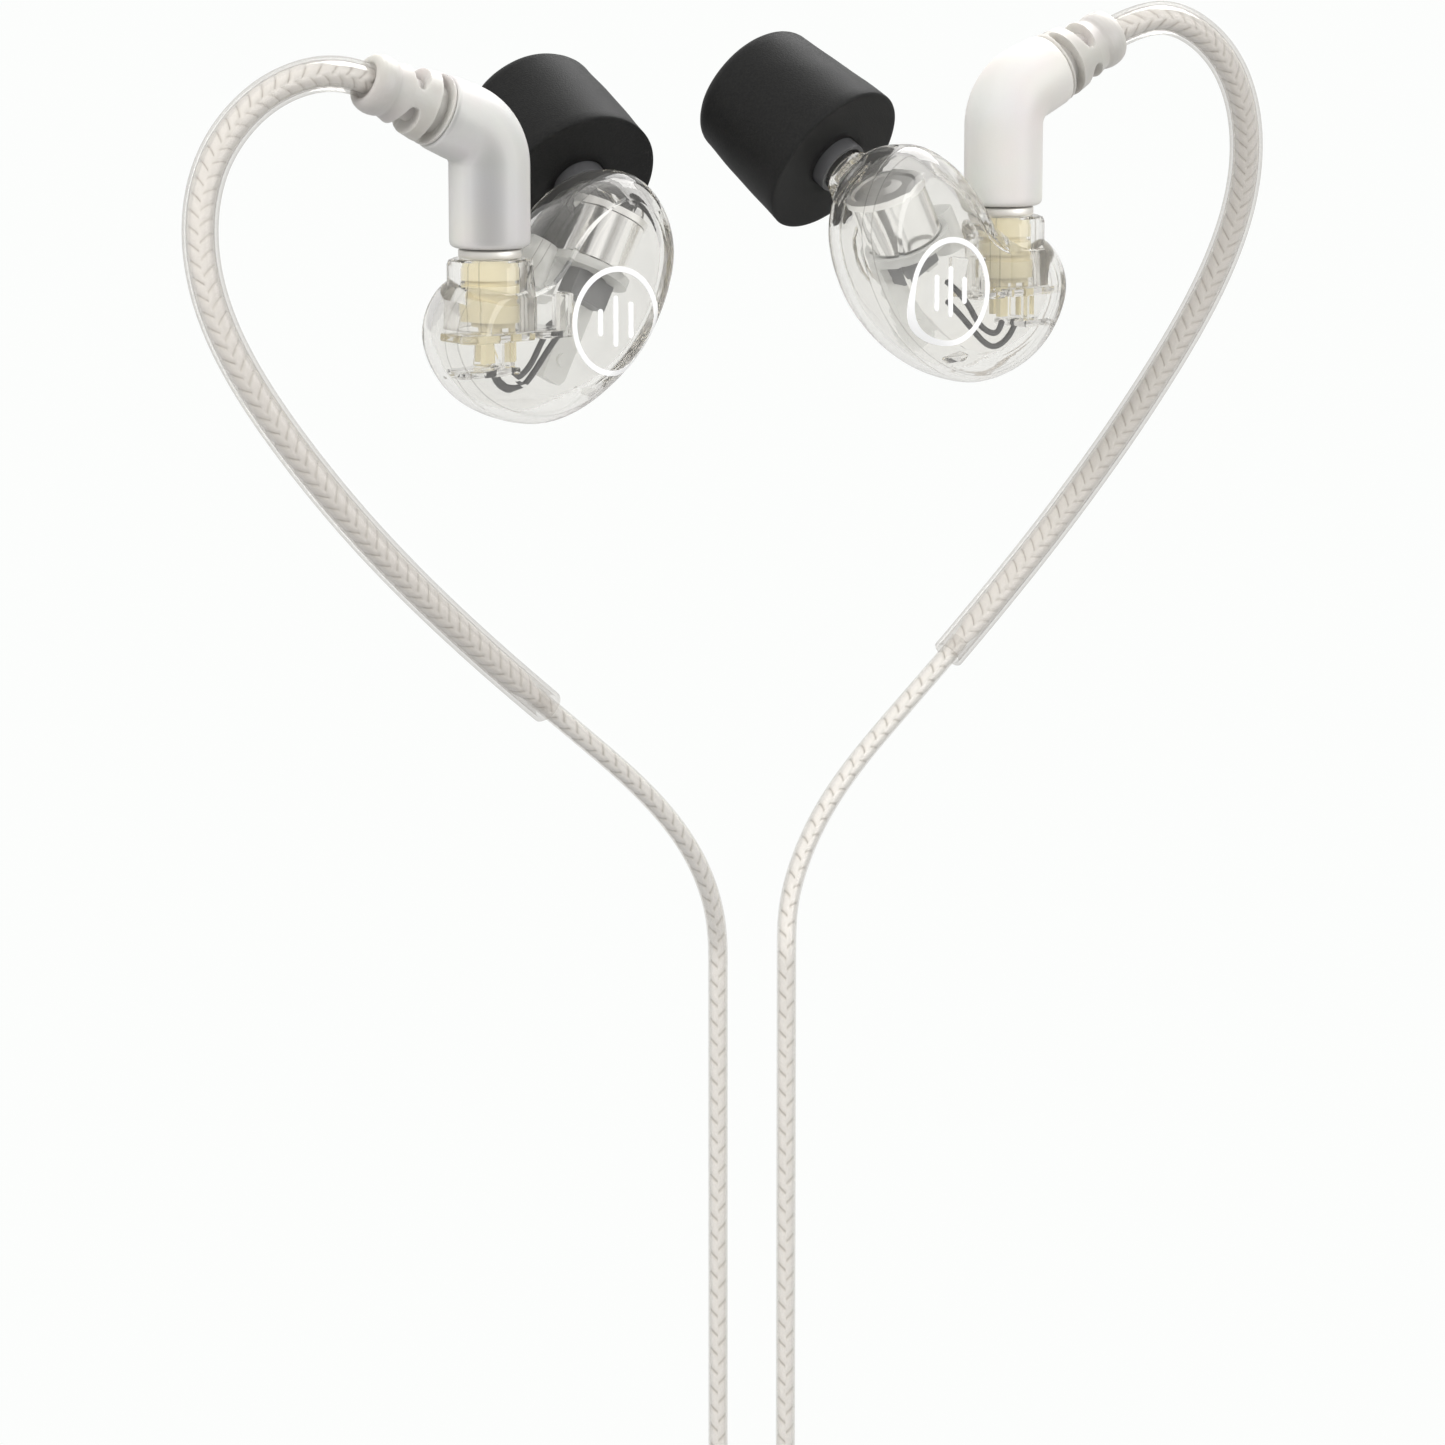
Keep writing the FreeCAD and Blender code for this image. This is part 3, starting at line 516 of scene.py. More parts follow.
def mat_frosted(name, centre, edge, rough=0.40, sss=0.35, core=False):
    """Frosted translucent moulding with painted shade: darker where the surface faces the view,
    standing in for the core seen through it, and paler towards the silhouette.
    """
    made, tree = new_material(name)

    def blend(k):
        return tuple((1 - k) * a + k * c for a, c in zip(centre, edge))

    if core:
        # painted shade: a soft dark band down the middle
        stops = [(0.0, centre), (0.04, blend(0.22)), (0.12, blend(0.70)), (0.25, edge),
                 (0.8, edge), (1.0, blend(0.6))]
    else:
        stops = [(0.0, centre), (0.35, blend(0.4)), (0.75, edge), (1.0, edge)]
    # painted shade: the colour follows the facing, dark at the middle and pale towards the silhouette
    shade = ramp(tree, facing(tree), stops)
    coords = object_coords(tree)
    mottle = noise(tree, coords, scale=240.0, detail=3.0).outputs["Color"]
    color = mix_color(tree, 0.10, shade, mottle, "MULTIPLY")
    normal = noise_bump(tree, scale=5200.0, strength=0.22, distance=0.00003, detail=3.0,
                        coords=coords)
    surface = node(tree, "BsdfPrincipled", {"Base Color": color, "Normal": normal},
                   Roughness=rough, Subsurface_Weight=sss, Subsurface_Radius=(1.0, 0.95, 0.9),
                   Subsurface_Scale=0.0012, Specular_IOR_Level=0.45)
    return finish(made, surface)


def mat_foam():
    made, tree = new_material("foam_black")
    color = vary(tree, (0.0085, 0.0085, 0.0085), (0.0125, 0.0125, 0.012), scale=5200.0)
    cells = node(tree, "TexVoronoi", {"Vector": object_coords(tree)}, Scale=7800.0)
    normal = bump(tree, cells.outputs["Distance"], strength=0.30, distance=0.00003)
    surface = node(tree, "BsdfPrincipled", {"Base Color": color, "Normal": normal},
                   Roughness=0.58, Specular_IOR_Level=0.24)
    return finish(made, surface)


def mat_plastic(name, color, rough, dark=0.92, sss=0.0):
    made, tree = new_material(name)
    shade = vary(tree, tuple(c * dark for c in color), color, scale=500.0)
    normal = noise_bump(tree, scale=2500.0, strength=0.12, distance=0.00003)
    surface = node(tree, "BsdfPrincipled", {"Base Color": shade, "Normal": normal},
                   Roughness=rough)
    if sss:
        surface.inputs["Subsurface Weight"].default_value = sss
        surface.inputs["Subsurface Radius"].default_value = (1.0, 0.95, 0.9)
        surface.inputs["Subsurface Scale"].default_value = 0.0006
    return finish(made, surface)


def mat_braid():
    """Pale yarn with fine fibre streaks; painted shade darkens the grooves between strands."""
    made, tree = new_material("braid")
    strand = node(tree, "UVMap", uv_map="strand").outputs[0]
    along = node(tree, "UVMap", uv_map="along").outputs[0]
    stretched = node(tree, "Mapping", {"Vector": strand}, Scale=(14.0, 2.4, 1.0)).outputs[0]
    fibre = noise(tree, stretched, scale=1.0, detail=3.0).outputs["Fac"]
    yarn = ramp(tree, fibre, [(0.3, (0.76, 0.735, 0.70)), (0.7, (0.89, 0.87, 0.835))])
    nearness = node(tree, "SeparateXYZ", {0: along}).outputs[0]
    # painted shade in the grooves, by nearness to a strand's edge
    groove = ramp(tree, nearness, [(0.0, (1, 1, 1)), (0.66, (0.98, 0.98, 0.975)),
                                   (0.86, (0.83, 0.815, 0.79)), (1.0, (0.42, 0.40, 0.375))])
    color = mix_color(tree, 1.0, yarn, groove, "MULTIPLY")
    normal = bump(tree, fibre, strength=0.35, distance=0.00003)
    surface = node(tree, "BsdfPrincipled", {"Base Color": color, "Normal": normal}, Roughness=0.6)
    return finish(made, surface)


def mat_polished_can():
    """Bright metal with painted reflections: soft light and dark bands that follow the surface
    direction.
    """
    made, tree = new_material("driver_metal")
    direction = node(tree, "NewGeometry").outputs["Normal"]
    stretched = node(tree, "Mapping", {"Vector": direction}, Scale=(2.6, 2.6, 0.5)).outputs[0]
    bands = noise(tree, stretched, scale=1.0, detail=1.5).outputs["Fac"]
    # painted reflections: dark and bright bands in the base colour
    color = ramp(tree, bands, [(0.34, (0.34, 0.335, 0.325)), (0.43, (0.99, 0.985, 0.975)),
                               (0.58, (1.0, 0.995, 0.985)), (0.68, (0.46, 0.455, 0.445))])
    normal = noise_bump(tree, scale=2600.0, strength=0.05, distance=0.00002)
    surface = node(tree, "BsdfPrincipled", {"Base Color": color, "Normal": normal},
                   Metallic=1.0, Roughness=0.14)
    return finish(made, surface)


def mat_metal(name, color, rough):
    made, tree = new_material(name)
    shade = vary(tree, tuple(c * 0.95 for c in color), color, scale=600.0)
    normal = noise_bump(tree, scale=3000.0, strength=0.06, distance=0.00002)
    surface = node(tree, "BsdfPrincipled", {"Base Color": shade, "Normal": normal},
                   Metallic=1.0, Roughness=rough)
    return finish(made, surface)


def mat_chassis():
    """Frosted insert inside the housing: nearly half the light passes through it."""
    made, tree = new_material("chassis_plastic")
    normal = noise_bump(tree, scale=1800.0, strength=0.2, distance=0.00003)
    frosted = node(tree, "BsdfPrincipled", {"Normal": normal}, Roughness=0.35,
                   Base_Color=(0.86, 0.86, 0.85, 1))
    clear = node(tree, "BsdfTransparent", Color=(0.95, 0.95, 0.94, 1))
    return finish(made, mix_shader(tree, 0.45, frosted, clear))


MAT = {
    "clear_ledge": mat_ledge(),
    "clear_shell_left": mat_clear_shell("left"),
    "clear_shell_right": mat_clear_shell("right"),
    "hook_tubing": mat_tubing("hook_tubing", centre=(0.968, 0.962, 0.955),
                              edge=(0.84, 0.83, 0.815), reflection=0.32, haze=0.10875),
    "jacket_tubing": mat_tubing("jacket_tubing", centre=(0.994, 0.991, 0.986),
                                edge=(0.93, 0.92, 0.905), reflection=0.30, haze=0.045),
    "frosted_plastic": mat_frosted("frosted_plastic", centre=(0.46, 0.455, 0.44),
                                   edge=(0.80, 0.79, 0.765), rough=0.42),
    # painted shade: elbow_left is a more shaded copy of elbow_right, with a darker middle
    "elbow_left": mat_frosted("elbow_left", centre=(0.34, 0.335, 0.326),
                              edge=(0.62, 0.61, 0.59), sss=0.10, core=True),
    "elbow_right": mat_frosted("elbow_right", centre=(0.655, 0.636, 0.608),
                               edge=(0.76, 0.737, 0.70), sss=0.2),
    "sleeve_plastic": mat_frosted("sleeve_plastic", centre=(0.46, 0.445, 0.415),
                                  edge=(0.60, 0.58, 0.545)),
    "foam_black": mat_foam(),
    "core_grey": mat_plastic("core_grey", color=(0.085, 0.085, 0.088), rough=0.38),
    "braid": mat_braid(),
    "white_ink": mat_plastic("white_ink", color=(0.95, 0.95, 0.95), rough=0.5, dark=0.98),
    "driver_metal": mat_polished_can(),
    "dark_metal": mat_plastic("dark_metal", color=(0.20, 0.20, 0.205), rough=0.35),
    "diaphragm_film": mat_metal("diaphragm_film", color=(0.95, 0.945, 0.93), rough=0.42),
    "chassis_plastic": mat_chassis(),
    "socket_metal": mat_plastic("socket_metal", color=(0.80, 0.72, 0.50), rough=0.33, dark=0.96,
                                sss=0.2),
    "gold_contact": mat_metal("gold_contact", color=(0.93, 0.76, 0.42), rough=0.18),
    "insulator_cream": mat_plastic("insulator_cream", color=(0.85, 0.80, 0.68), rough=0.5),
    "wire_black": mat_plastic("wire_black", color=(0.055, 0.055, 0.058), rough=0.4),
    "filter_mesh": mat_metal("filter_mesh", color=(0.72, 0.72, 0.72), rough=0.3),
    "plug_nickel": mat_metal("plug_nickel", color=(0.93, 0.905, 0.86), rough=0.55),
}


def dress_cad_nodes():
    """Gives every CAD piece the material of its slot, and smooth shading."""
    slots = {r["node"]: r["material_slot"] for r in frame["record"]["subparts"]}
    for name, piece in frame["nodes"].items():
        special = {"clear_tubing": "jacket_tubing",
                   "clear_shell": "clear_shell_" + name.split("_")[0]}
        mesh = piece.data
        mesh.materials.clear()
        mesh.materials.append(MAT[special.get(slots[name], slots[name])])
        mesh.polygons.foreach_set("use_smooth", [True] * len(mesh.polygons))
        mesh.set_sharp_from_angle(angle=math.radians(32))


dress_cad_nodes()


# ------------------------------------------------------------------ leads and ear hooks
def add_lead(side):
    line, s = lead_line(side)
    tangent, normal, binormal = transport(line)
    hook_index = int(np.argmin(np.linalg.norm(line - np.array(HOOK_END[side]), axis=1)))
    s_hook = s[hook_index]

    # braid: fuller inside the hook than in the thin jacket below it, its width square to Y
    sel = s >= 0.2
    radius = np.interp(s[sel], [0, s_hook - 3.4, s_hook - 1.7, s[-1]], [0.93, 0.93, 0.63, 0.63])
    pitch = np.interp(s[sel], [0, s_hook - 1.5, s_hook + 1.5, s[-1]], [1.16, 1.16, 1.55, 1.55])
    wide = np.cross(tangent[sel], np.array([0.0, 1.0, 0.0]))
    wide /= np.linalg.norm(wide, axis=1)[:, None]
    deep = np.cross(wide, tangent[sel])
    made = add_braid(side + "_braid", line[sel], wide, deep, s[sel], radius, pitch,
                     replaces=(side + "_lead_core", side + "_lower_core"))
    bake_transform(made)

    # clear jacket over it, from just inside the end of the hook
    sel = s >= s_hook - 1.5
    verts, faces = hollow_tube(line[sel], normal[sel], binormal[sel], outer=0.75, inner=0.67,
                               sides=28)
    made = add_piece(side + "_jacket", verts, faces, "jacket_tubing", sharp=40,
                     slot="clear_tubing",
                     replaces=(side + "_lead_jacket", side + "_lower_jacket"))
    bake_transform(made)

    # ear hook tubing
    sel = (s >= HOOK_START) & (s <= s_hook)
    verts, faces = hollow_tube(line[sel], normal[sel], binormal[sel], outer=1.30, inner=1.02,
                               sides=40)
    add_piece(side + "_hook_tube", verts, faces, "hook_tubing", replaces=(side + "_ear_hook",),
              slot="clear_tubing", ride=side + "_lead", sharp=40)


for side in SIDES:
    add_lead(side)


# ------------------------------------------------------------------ main cable below the split
CABLE_TOP = 55.8


def straight(z0, z1, step):
    """Vertical line on the Z axis: points, +X and -Y directions, distances."""
    z = np.linspace(z0, z1, int(round((z1 - z0) / step)) + 1)
    line = np.stack([0 * z, 0 * z, z], 1)
    return line, np.tile((1.0, 0, 0), (len(z), 1)), np.tile((0, -1.0, 0), (len(z), 1)), z - z0


def add_main_cable():
    line, across, front, s = straight(9.0, CABLE_TOP, 0.1)
    add_braid("main_braid", line, across, front, s, radius=np.full(len(s), 0.985),
              pitch=np.full(len(s), 1.7), replaces=("main_core",), ride="cable")
    line, across, front, _ = straight(12.0, CABLE_TOP, 0.4)
    verts, faces = hollow_tube(line, across, front, outer=1.2, inner=1.03, sides=48)
    add_piece("main_jacket_skin", verts, faces, "jacket_tubing", replaces=("main_jacket",),
              slot="clear_tubing", ride="cable", sharp=40)


add_main_cable()


# ------------------------------------------------------------------ slotted sleeves
SLEEVE_SIDES = 120
SLEEVE_ANGLES = 2 * np.pi * np.arange(SLEEVE_SIDES) / SLEEVE_SIDES


def slot_shape(stations, centre, half_length, middle, half_angle):
    """Oval pocket, 1 inside and 0 outside; angles in degrees."""
    turn = (SLEEVE_ANGLES - math.radians(middle) + np.pi) % (2 * np.pi) - np.pi
    d = np.abs(turn) / math.radians(half_angle)
    q = np.abs((stations - centre) / half_length)[:, None] ** 2.6 + np.abs(d)[None, :] ** 2.6
    t = np.clip((1.12 - q) / 0.24, 0, 1)
    return t * t * (3 - 2 * t)


def slotted_mesh(stations, body, cut, inner):
    """Outer skin with pockets cut in, closed through the inner (radius, z) rings."""
    R = body[:, None] - cut
    verts = [(R[i, j] * math.cos(a), R[i, j] * math.sin(a), z)
             for i, z in enumerate(stations) for j, a in enumerate(SLEEVE_ANGLES)]
    faces = grid_faces(len(stations), SLEEVE_SIDES)
    previous = (len(stations) - 1) * SLEEVE_SIDES
    for radius, z in inner:
        start = len(verts)
        verts += [(radius * math.cos(a), radius * math.sin(a), z) for a in SLEEVE_ANGLES]
        faces += bridge(previous, start, SLEEVE_SIDES)
        previous = start
    faces += bridge(previous, 0, SLEEVE_SIDES)
    return np.array(verts), faces


def cable_sleeve_mesh(z0, z1, r0, r1):
    """Tapered bend relief with rows of slots, each row turned a quarter from the last."""
    rows = 5
    rim = 0.28
    margin = 0.8
    bore = 1.23
    Z = np.linspace(z0, z1, 150)
    body = r0 + (r1 - r0) * ((Z - z0) / (z1 - z0))
    for from_end in (Z - z0, z1 - Z):
        k = np.clip(1 - from_end / rim, 0, 1)
        body = body - rim * (1 - np.sqrt(1 - np.minimum(k, 0.999) ** 2))
    depth = 0.30 * np.minimum(body, 2.6)[:, None]
    row_length = (z1 - z0 - 2 * margin) / rows
    cut = np.zeros((len(Z), SLEEVE_SIDES))
    for i in range(rows):
        centre = z0 + margin + (i + 0.5) * row_length
        for middle in ((0, 180) if i % 2 else (90, 270)):
            pocket = slot_shape(Z, centre, 0.30 * row_length, middle, half_angle=76)
            cut = np.maximum(cut, pocket * depth)
    return slotted_mesh(Z, body, cut, [(bore, z1), (bore, z0)])


# name, CAD node, lower z, upper z, lower radius, upper radius
for name, cad_node, z0, z1, r0, r1 in (
        ("split_flex_sleeve", "split_relief", 42.0, 50.98, 2.0, 2.9),
        ("jack_flex_sleeve", "jack_relief", 18.02, 28.0, 3.1, 2.0)):
    verts, faces = cable_sleeve_mesh(z0, z1, r0, r1)
    add_piece(name, verts, faces, "sleeve_plastic", replaces=(cad_node,), slot="frosted_plastic",
              ride="cable", sharp=50)


# ------------------------------------------------------------------ ear tip cores and hook-up wires
# Closed core section: radius, distance along the tip.
CORE = [(1.80, -1.0), (2.00, -1.0), (2.07, -0.97), (2.10, -0.88), (2.10, 2.0), (2.08, 2.2),
        (2.10, 2.4), (2.10, 9.48), (2.07, 9.57), (2.0, 9.60), (1.85, 9.60), (1.78, 9.57),
        (1.75, 9.48), (1.75, 6.0), (1.80, 4.8), (1.80, -0.9)]
# Wire centre lines: x, y, z in the earpiece frame.
WIRES = [[(0.95, -0.55, -7.9), (1.5, -0.5, -8.8), (2.9, -0.3, -8.3),
          (4.0, -0.2, -6.9), (5.2, 0.0, -5.5), (6.3, 0.2, -4.6)],
         [(-0.7, -0.5, -7.9), (0.1, -0.4, -9.2), (1.6, -0.3, -9.9),
          (3.2, -0.2, -9.0), (4.8, 0.0, -7.4), (6.2, 0.2, -6.1)]]
WIRE_RADIUS = 0.23
WIRE_SIDES = 20


def wires_mesh():
    """Both wires, with rounded ends and a slight waviness of thickness."""
    end_round = 0.14
    verts, faces = [], []
    for knots in WIRES:
        line, s = spline(knots, 0.1)
        _, normal, binormal = transport(line)
        toward_end = np.clip(1 - np.minimum(s, s[-1] - s) / end_round, 0, 1)
        radius = WIRE_RADIUS * np.sqrt(np.clip(1 - toward_end ** 2, 0.12, 1))
        radius = radius * (1 + 0.02 * np.sin(s * 5.0))
        wire_verts, wire_faces = sweep_tube(line, normal, binormal, radius, WIRE_SIDES)
        wire_faces += end_caps(len(line), WIRE_SIDES)
        faces += [tuple(i + len(verts) for i in face) for face in wire_faces]
        verts += [tuple(p) for p in wire_verts]
    return np.array(verts), faces


for side in SIDES:
    verts, faces = loop_profile(CORE, 96)
    add_piece(side + "_core_tube", ear_to_world(side, lay_along(verts, TIP_BASE, TIP_DIR)), faces,
              "core_grey", replaces=(side + "_ear_tip_core",), ride=side + "_ear_tip", sharp=40)
    verts, faces = wires_mesh()
    add_piece(side + "_hookup_wires", ear_to_world(side, verts), faces, "wire_black",
              replaces=(side + "_lead_wires",), ride=side + "_earpiece", sharp=50)


# ------------------------------------------------------------------ elbow plugs, in the plug frame
BARREL_RADIUS = 3.0
BEND_RADIUS = 3.4
# Barrel with a rounded foot: z, radius.
BARREL = [(0.80, 2.45), (0.82, 2.62), (0.90, 2.80), (1.02, 2.92), (1.2, 2.98),
          (1.5, BARREL_RADIUS), (3.0, BARREL_RADIUS), (4.5, BARREL_RADIUS), (5.6, BARREL_RADIUS)]
# Arm beyond the bend: distance from the corner, radius.
ARM = [(3.0, 2.92), (3.8, 2.87), (4.45, 2.83), (4.66, 2.78), (4.76, 2.66), (4.80, 2.50)]


def elbow_mesh():
    sides = 72
    bend_steps = 16
    turn = math.pi / 2 - ARM_RISE
    arm = arm_direction()
    up = np.array([0, 0, 1.0])
    corner = CORNER_Z * up
    points = [z * up for z, _ in BARREL]
    radii = [r for _, r in BARREL]
    bend_start = np.array([0, 0, CORNER_Z - BEND_RADIUS * math.tan(turn / 2)])
    centre = bend_start + np.array([BEND_RADIUS, 0, 0])
    for k in range(bend_steps + 1):
        a = turn * k / bend_steps
        points.append(centre + BEND_RADIUS * np.array([-math.cos(a), 0, math.sin(a)]))
        radii.append(BARREL_RADIUS - 0.06 * k / bend_steps)
    points += [corner + arm * reach for reach, _ in ARM]
    radii += [r for _, r in ARM]

    line = np.array(points)
    tangent = np.gradient(line, axis=0)
    tangent /= np.linalg.norm(tangent, axis=1)[:, None]
    tangent[:len(BARREL)] = up
    tangent[-len(ARM):] = arm
    normal = np.tile(np.array([0, 1.0, 0]), (len(line), 1))
    verts, faces = sweep_tube(line, normal, np.cross(tangent, normal), radii, sides)
    verts = list(verts)

    # blind bores in the foot and in the arm's end: outer ring, direction, (centre, radius) x 2
    foot_z, arm_end = BARREL[0][0], ARM[-1][0]
    bores = ((0, up, ((foot_z * up, 1.72), (3.2 * up, 1.70))),
             ((len(line) - 1) * sides, arm,
              ((corner + arm * arm_end, 0.85), (corner + arm * 3.6, 0.83))))
    for previous, direction, rings in bores:
        side_on = np.cross(direction, (0, 1.0, 0))
        for ring_centre, radius in rings:
            start = len(verts)
            for k in range(sides):
                a = 2 * math.pi * k / sides
                spoke = math.cos(a) * np.array([0, 1.0, 0]) + math.sin(a) * side_on
                verts.append(ring_centre + radius * spoke)
            faces += bridge(previous, start, sides)
            previous = start
        faces.append(tuple(start + k for k in range(sides)))
    return np.array(verts), faces


# Arm sleeve outline: distance from the corner, radius.
ARM_SLEEVE = [(4.83, 2.60), (4.95, 2.70), (5.1, 2.72), (5.9, 2.66), (6.3, 2.60), (7.0, 2.50),
              (8.2, 2.32), (8.8, 2.14), (9.2, 2.04), (9.35, 2.06), (9.6, 2.16), (9.95, 2.22),
              (10.3, 2.22), (10.65, 2.16), (10.95, 2.04), (11.12, 1.90), (11.2, 1.74)]
# Its slots, in pairs on opposite sides: start, end, first angle, half angle in degrees, depth.
ARM_SLOTS = [(5.05, 6.05, 0, 82, 0.80), (6.95, 8.35, 90, 70, 0.90)]


def arm_sleeve_mesh():
    """Sleeve on the arm, cut by two rows of alternating slots."""
    s0, s1 = ARM_SLEEVE[0][0], ARM_SLEEVE[-1][0]
    S = np.linspace(s0, s1, 130)
    body = np.interp(S, [p[0] for p in ARM_SLEEVE], [p[1] for p in ARM_SLEEVE])
    cut = np.zeros((len(S), SLEEVE_SIDES))
    for start, end, first, half_angle, depth in ARM_SLOTS:
        for middle in (first, first + 180):
            pocket = slot_shape(S, 0.5 * (start + end), 0.5 * (end - start), middle, half_angle)
            cut = np.maximum(cut, pocket * depth)
    inner = [(1.46, s1 - 0.02), (1.36, s1 - 0.12), (1.34, 10.98), (0.97, 10.95), (0.97, s0)]
    verts, faces = slotted_mesh(S, body, cut, inner)
    return lay_along(verts, (0, 0, CORNER_Z), arm_direction(), x_hint=(0, 1, 0)), faces


for side in SIDES:
    verts, faces = elbow_mesh()
    add_piece(side + "_elbow_body", plug_to_world(side, verts), faces, "elbow_" + side,
              replaces=(side + "_elbow",), slot="frosted_plastic", ride=side + "_lead", sharp=50)
    verts, faces = arm_sleeve_mesh()
    add_piece(side + "_flex_sleeve", plug_to_world(side, verts), faces, "sleeve_plastic",
              replaces=(side + "_strain_relief",), slot="frosted_plastic", ride=side + "_lead",
              sharp=50)


# Closed collar section: radius, z.
COLLAR = [(1.15, -2.6), (1.40, -2.6), (1.50, -2.5), (1.50, -2.01), (1.30, -2.01), (1.30, -1.39),
          (1.50, -1.39), (1.50, 0.05), (2.20, 0.05), (2.29, 0.09), (2.34, 0.17), (2.34, 0.58),
          (2.30, 0.67), (2.20, 0.73), (1.62, 0.76), (1.60, 0.79), (1.60, 3.3), (0.62, 3.3),
          (0.62, 0.2), (1.15, 0.2)]
for side in SIDES:
    verts, faces = loop_profile(COLLAR, 96)
    add_piece(side + "_collar_flange", plug_to_world(side, verts), faces, "plug_nickel",
              replaces=(side + "_plug_collar",), ride=side + "_lead", sharp=40)


# ------------------------------------------------------------------ clear ledges round the socket
# Opposite corners of each box, in the earpiece frame.
LEDGES = [((-3.5, -1.28, -5.98), (1.85, 1.2, -5.42)),
          ((-3.1, -1.28, -8.38), (0.35, 1.0, -7.86)),
          ((2.75, -1.28, -5.95), (5.2, 1.1, -5.42)),
          ((4.55, -1.28, -5.36), (5.2, 1.1, -2.9)),
          ((-1.35, -1.28, -7.82), (-0.85, 0.6, -6.02))]


def rounded_boxes(boxes, radius):
    bm = bmesh.new()
    for low, high in boxes:
        size = [h - l for l, h in zip(low, high)]
        middle = [0.5 * (l + h) for l, h in zip(low, high)]
        matrix = Matrix.Translation(middle) @ Matrix.Diagonal((*size, 1.0))
        made = bmesh.ops.create_cube(bm, size=1.0, matrix=matrix)
        edges = list({e for v in made["verts"] for e in v.link_edges})
        bmesh.ops.bevel(bm, geom=edges, offset=radius, segments=4, profile=0.5, affect="EDGES")
    bm.verts.index_update()
    verts = np.array([v.co[:] for v in bm.verts])
    faces = [tuple(v.index for v in f.verts) for f in bm.faces]
    bm.free()
    return verts, faces


for side in SIDES:
    verts, faces = rounded_boxes(LEDGES, radius=0.17)
    add_piece(side + "_shell_ledges", ear_to_world(side, verts), faces, "clear_ledge",
              slot="clear_shell", ride=side + "_earpiece", sharp=60)


# ------------------------------------------------------------------ foam ear tips
def foam_mesh():
    """Slightly bulged cone with a rounded far end, about the core."""
    bore = 2.14
    wide, narrow = 6.24, 5.42           # radii at the two ends of the cone
    cone_start, cone_end = 0.17, 8.7
    round_width, round_height = 1.55, 1.58
    profile = [(bore, 0.05), (2.2, 0.0), (3.0, 0.0), (4.0, 0.0), (5.0, 0.0), (5.85, 0.0),
               (6.08, 0.012), (6.19, 0.06), (wide, cone_start)]
    for k in range(1, 13):
        t = k / 12
        profile.append((wide - (wide - narrow) * t + 0.05 * math.sin(math.pi * t),
                        cone_start + (cone_end - cone_start) * t))
    for k in range(1, 11):
        a = math.radians(90 * k / 10)
        profile.append((narrow - round_width + round_width * math.cos(a),
                        cone_end + round_height * math.sin(a)))
    profile += [(3.3, 10.30), (2.7, 10.30), (2.3, 10.27), (2.16, 10.18), (bore, 9.9), (bore, 5.0)]
    verts, faces = loop_profile(profile, 144)

    # slow unevenness of the cut foam, fading out towards the bore
    angle = np.arctan2(verts[:, 1], verts[:, 0])
    radius = np.hypot(verts[:, 0], verts[:, 1])
    wobble = (0.018 * np.sin(3 * angle + verts[:, 2] * 0.9)
              + 0.012 * np.sin(7 * angle - verts[:, 2] * 1.7))
    fade = np.clip((radius - 3.0) / 2.0, 0, 1)
    verts[:, 0] += fade * wobble * np.cos(angle)
    verts[:, 1] += fade * wobble * np.sin(angle)
    return verts, faces


for side in SIDES:
    verts, faces = foam_mesh()
    add_piece(side + "_foam_tip", ear_to_world(side, lay_along(verts, TIP_BASE, TIP_DIR)), faces,
              "foam_black", replaces=(side + "_ear_tip_foam",), ride=side + "_ear_tip", sharp=50)


# ------------------------------------------------------------------ floor, in metres
BACKDROP = (0.975, 0.985, 0.975, 1)


def mat_floor():
    """Glows pale from above, dimmer as a light source, and is clear from below."""
    made, tree = new_material("floor_pale")
    seen = node(tree, "Emission", Strength=1.0, Color=BACKDROP)
    lighting = node(tree, "Emission", Strength=0.62, Color=(1.0, 1.0, 1.0, 1))
    path = node(tree, "LightPath")
    viewed = math_node(tree, "MAXIMUM", path.outputs["Is Camera Ray"],
                       path.outputs["Is Transmission Ray"])
    top = mix_shader(tree, viewed, lighting, seen)
    below = node(tree, "NewGeometry").outputs["Backfacing"]
    return finish(made, mix_shader(tree, below, top, node(tree, "BsdfTransparent")))


def add_floor(size, z):
    material = mat_floor()
    mesh = bpy.data.meshes.new("floor")
    h = size / 2
    mesh.from_pydata([(-h, -h, 0), (h, -h, 0), (h, h, 0), (-h, h, 0)], [], [(0, 1, 2, 3)])
    floor = bpy.data.objects.new("floor", mesh)
    floor.location = (0, 0, z)
    mesh.materials.append(material)
    bpy.context.scene.collection.objects.link(floor)


add_floor(size=60.0, z=-0.06)


# ------------------------------------------------------------------ world
def grey(v):
    return (v, v, v)


def warm(v):
    return (v, v * 0.985, v * 0.96)


# Brightness round the horizon, from -X through -Y, +X and +Y: bright boxes and darker gaps.
AROUND = [(0.0, warm(0.55)), (0.06, grey(0.95)), (0.12, grey(1.7)), (0.16, warm(0.50)),
          (0.20, grey(0.95)), (0.30, grey(1.6)), (0.36, warm(0.55)), (0.41, grey(0.97)),
          (0.47, grey(1.3)), (0.50, warm(0.45)), (0.56, grey(0.85)), (0.68, grey(0.97)),
          (0.80, grey(0.97)), (0.94, grey(0.85)), (1.0, warm(0.55))]
# Brightness by the Z of the direction, from level to overhead.
UPWARD = [(0.0, grey(1.0)), (0.25, grey(1.0)), (0.55, grey(0.9)), (0.75, grey(0.72)),
          (0.88, grey(1.1)), (1.0, grey(1.1))]


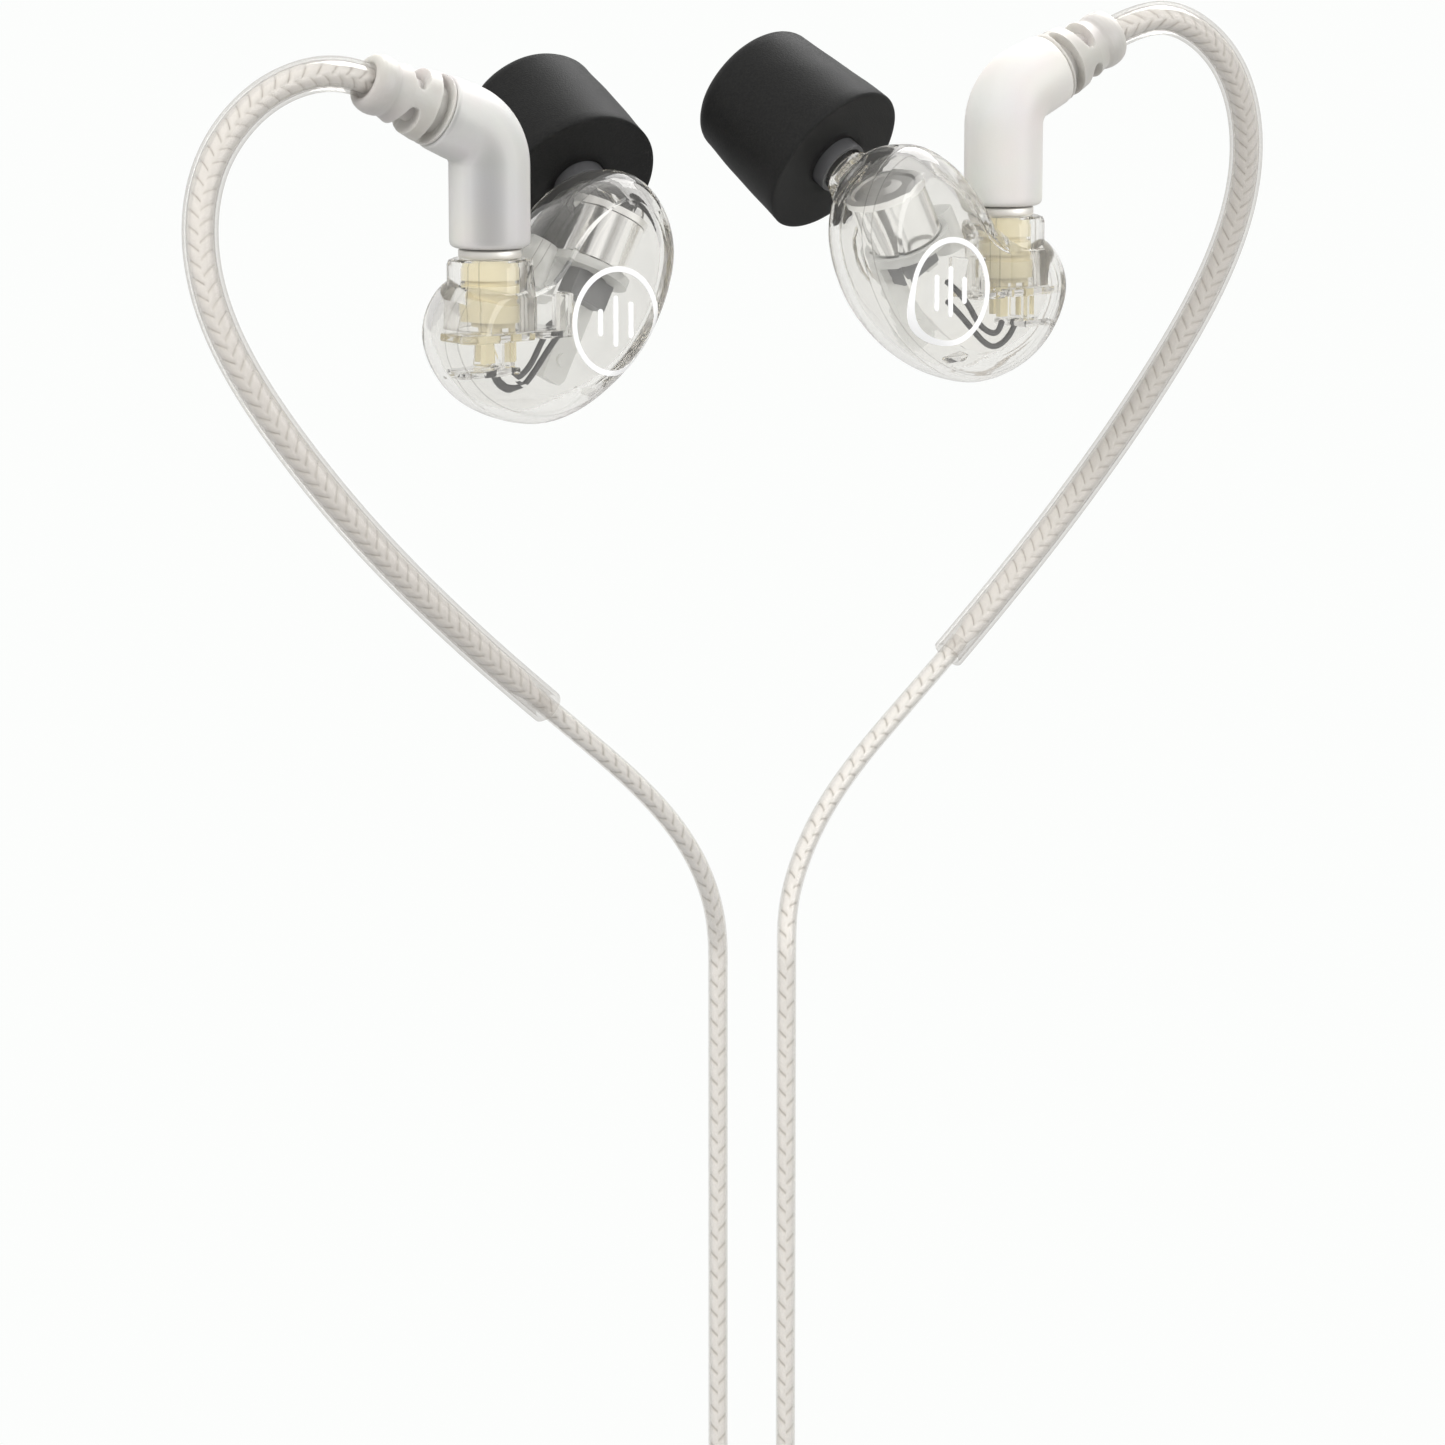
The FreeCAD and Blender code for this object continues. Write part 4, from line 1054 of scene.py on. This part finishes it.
def build_world():
    world = bpy.data.worlds.new("studio")
    bpy.context.scene.world = world
    world.use_nodes = True
    tree = world.node_tree
    tree.nodes.clear()
    direction = node(tree, "SeparateXYZ", {0: node(tree, "TexCoord").outputs["Generated"]}).outputs
    heading = math_node(tree, "ARCTAN2", direction["Y"], direction["X"])
    around = node(tree, "MapRange", {"Value": heading}, From_Min=-math.pi, From_Max=math.pi)
    color = mix_color(tree, 1.0, ramp(tree, around.outputs[0], AROUND),
                      ramp(tree, direction["Z"], UPWARD), "MULTIPLY")
    studio = node(tree, "Background", {"Color": color}, Strength=0.80)
    # straight views of the backdrop are plain and pale
    plain = node(tree, "Background", Color=BACKDROP)
    camera_ray = node(tree, "LightPath").outputs["Is Camera Ray"]
    shown = mix_shader(tree, camera_ray, studio, plain)
    node(tree, "OutputWorld", {0: shown.outputs[0]})


build_world()


# ------------------------------------------------------------------ lights, in metres and watts
def aim(thing, target):
    thing.rotation_euler = (Vector(target) - thing.location).to_track_quat("-Z", "Y").to_euler()


def area(name, location, target, size, power, reflected):
    """Rectangular light, unseen through glass and seen in reflections only if asked."""
    data = bpy.data.lights.new(name, "AREA")
    data.shape = "RECTANGLE"
    data.size, data.size_y = size
    data.energy = power
    light = bpy.data.objects.new(name, data)
    light.location = location
    aim(light, target)
    bpy.context.scene.collection.objects.link(light)
    light.visible_transmission = False
    light.visible_glossy = reflected


area("key", location=(-0.35, -0.45, 0.55), target=(0, 0, 0.17), size=(0.35, 0.35), power=3.2,
     reflected=False)
area("fill", location=(0.50, -0.30, 0.30), target=(0, 0, 0.16), size=(0.30, 0.40), power=1.3,
     reflected=True)
area("back", location=(0.10, 0.45, 0.45), target=(0, 0, 0.17), size=(0.40, 0.25), power=2.2,
     reflected=False)
area("kick", location=(0.16, 0.22, 0.50), target=(0, 0, 0.18), size=(0.34, 0.26), power=1.2,
     reflected=True)


# ------------------------------------------------------------------ camera and render settings
CAMERA_DISTANCE = 400.0     # mm
VIEW_WIDTH = 110.305        # mm in view at that distance
CAMERA_RISE = math.radians(10.5)
VIEW_CENTRE = Vector((-0.0022905, 0.0, 0.142))      # metres


def add_camera():
    data = bpy.data.cameras.new("camera")
    camera = bpy.data.objects.new("camera", data)
    bpy.context.scene.collection.objects.link(camera)
    reach = CAMERA_DISTANCE * MM
    camera.location = VIEW_CENTRE + Vector((0, -reach * math.cos(CAMERA_RISE),
                                            reach * math.sin(CAMERA_RISE)))
    aim(camera, VIEW_CENTRE)
    data.sensor_width = 36.0
    data.lens = 36.0 * CAMERA_DISTANCE / VIEW_WIDTH
    data.clip_start, data.clip_end = 0.01, 100.0
    bpy.context.scene.camera = camera


def set_render():
    scene = bpy.context.scene
    scene.view_settings.view_transform = "Standard"
    scene.view_settings.look = "None"
    cycles = scene.cycles
    # enough bounces to see through the nested clear parts
    cycles.max_bounces = 32
    cycles.transmission_bounces = 28
    cycles.transparent_max_bounces = 32
    cycles.glossy_bounces = 24
    cycles.diffuse_bounces = 4
    cycles.caustics_refractive = True
    cycles.caustics_reflective = False
    cycles.blur_glossy = 0.3


add_camera()
set_render()
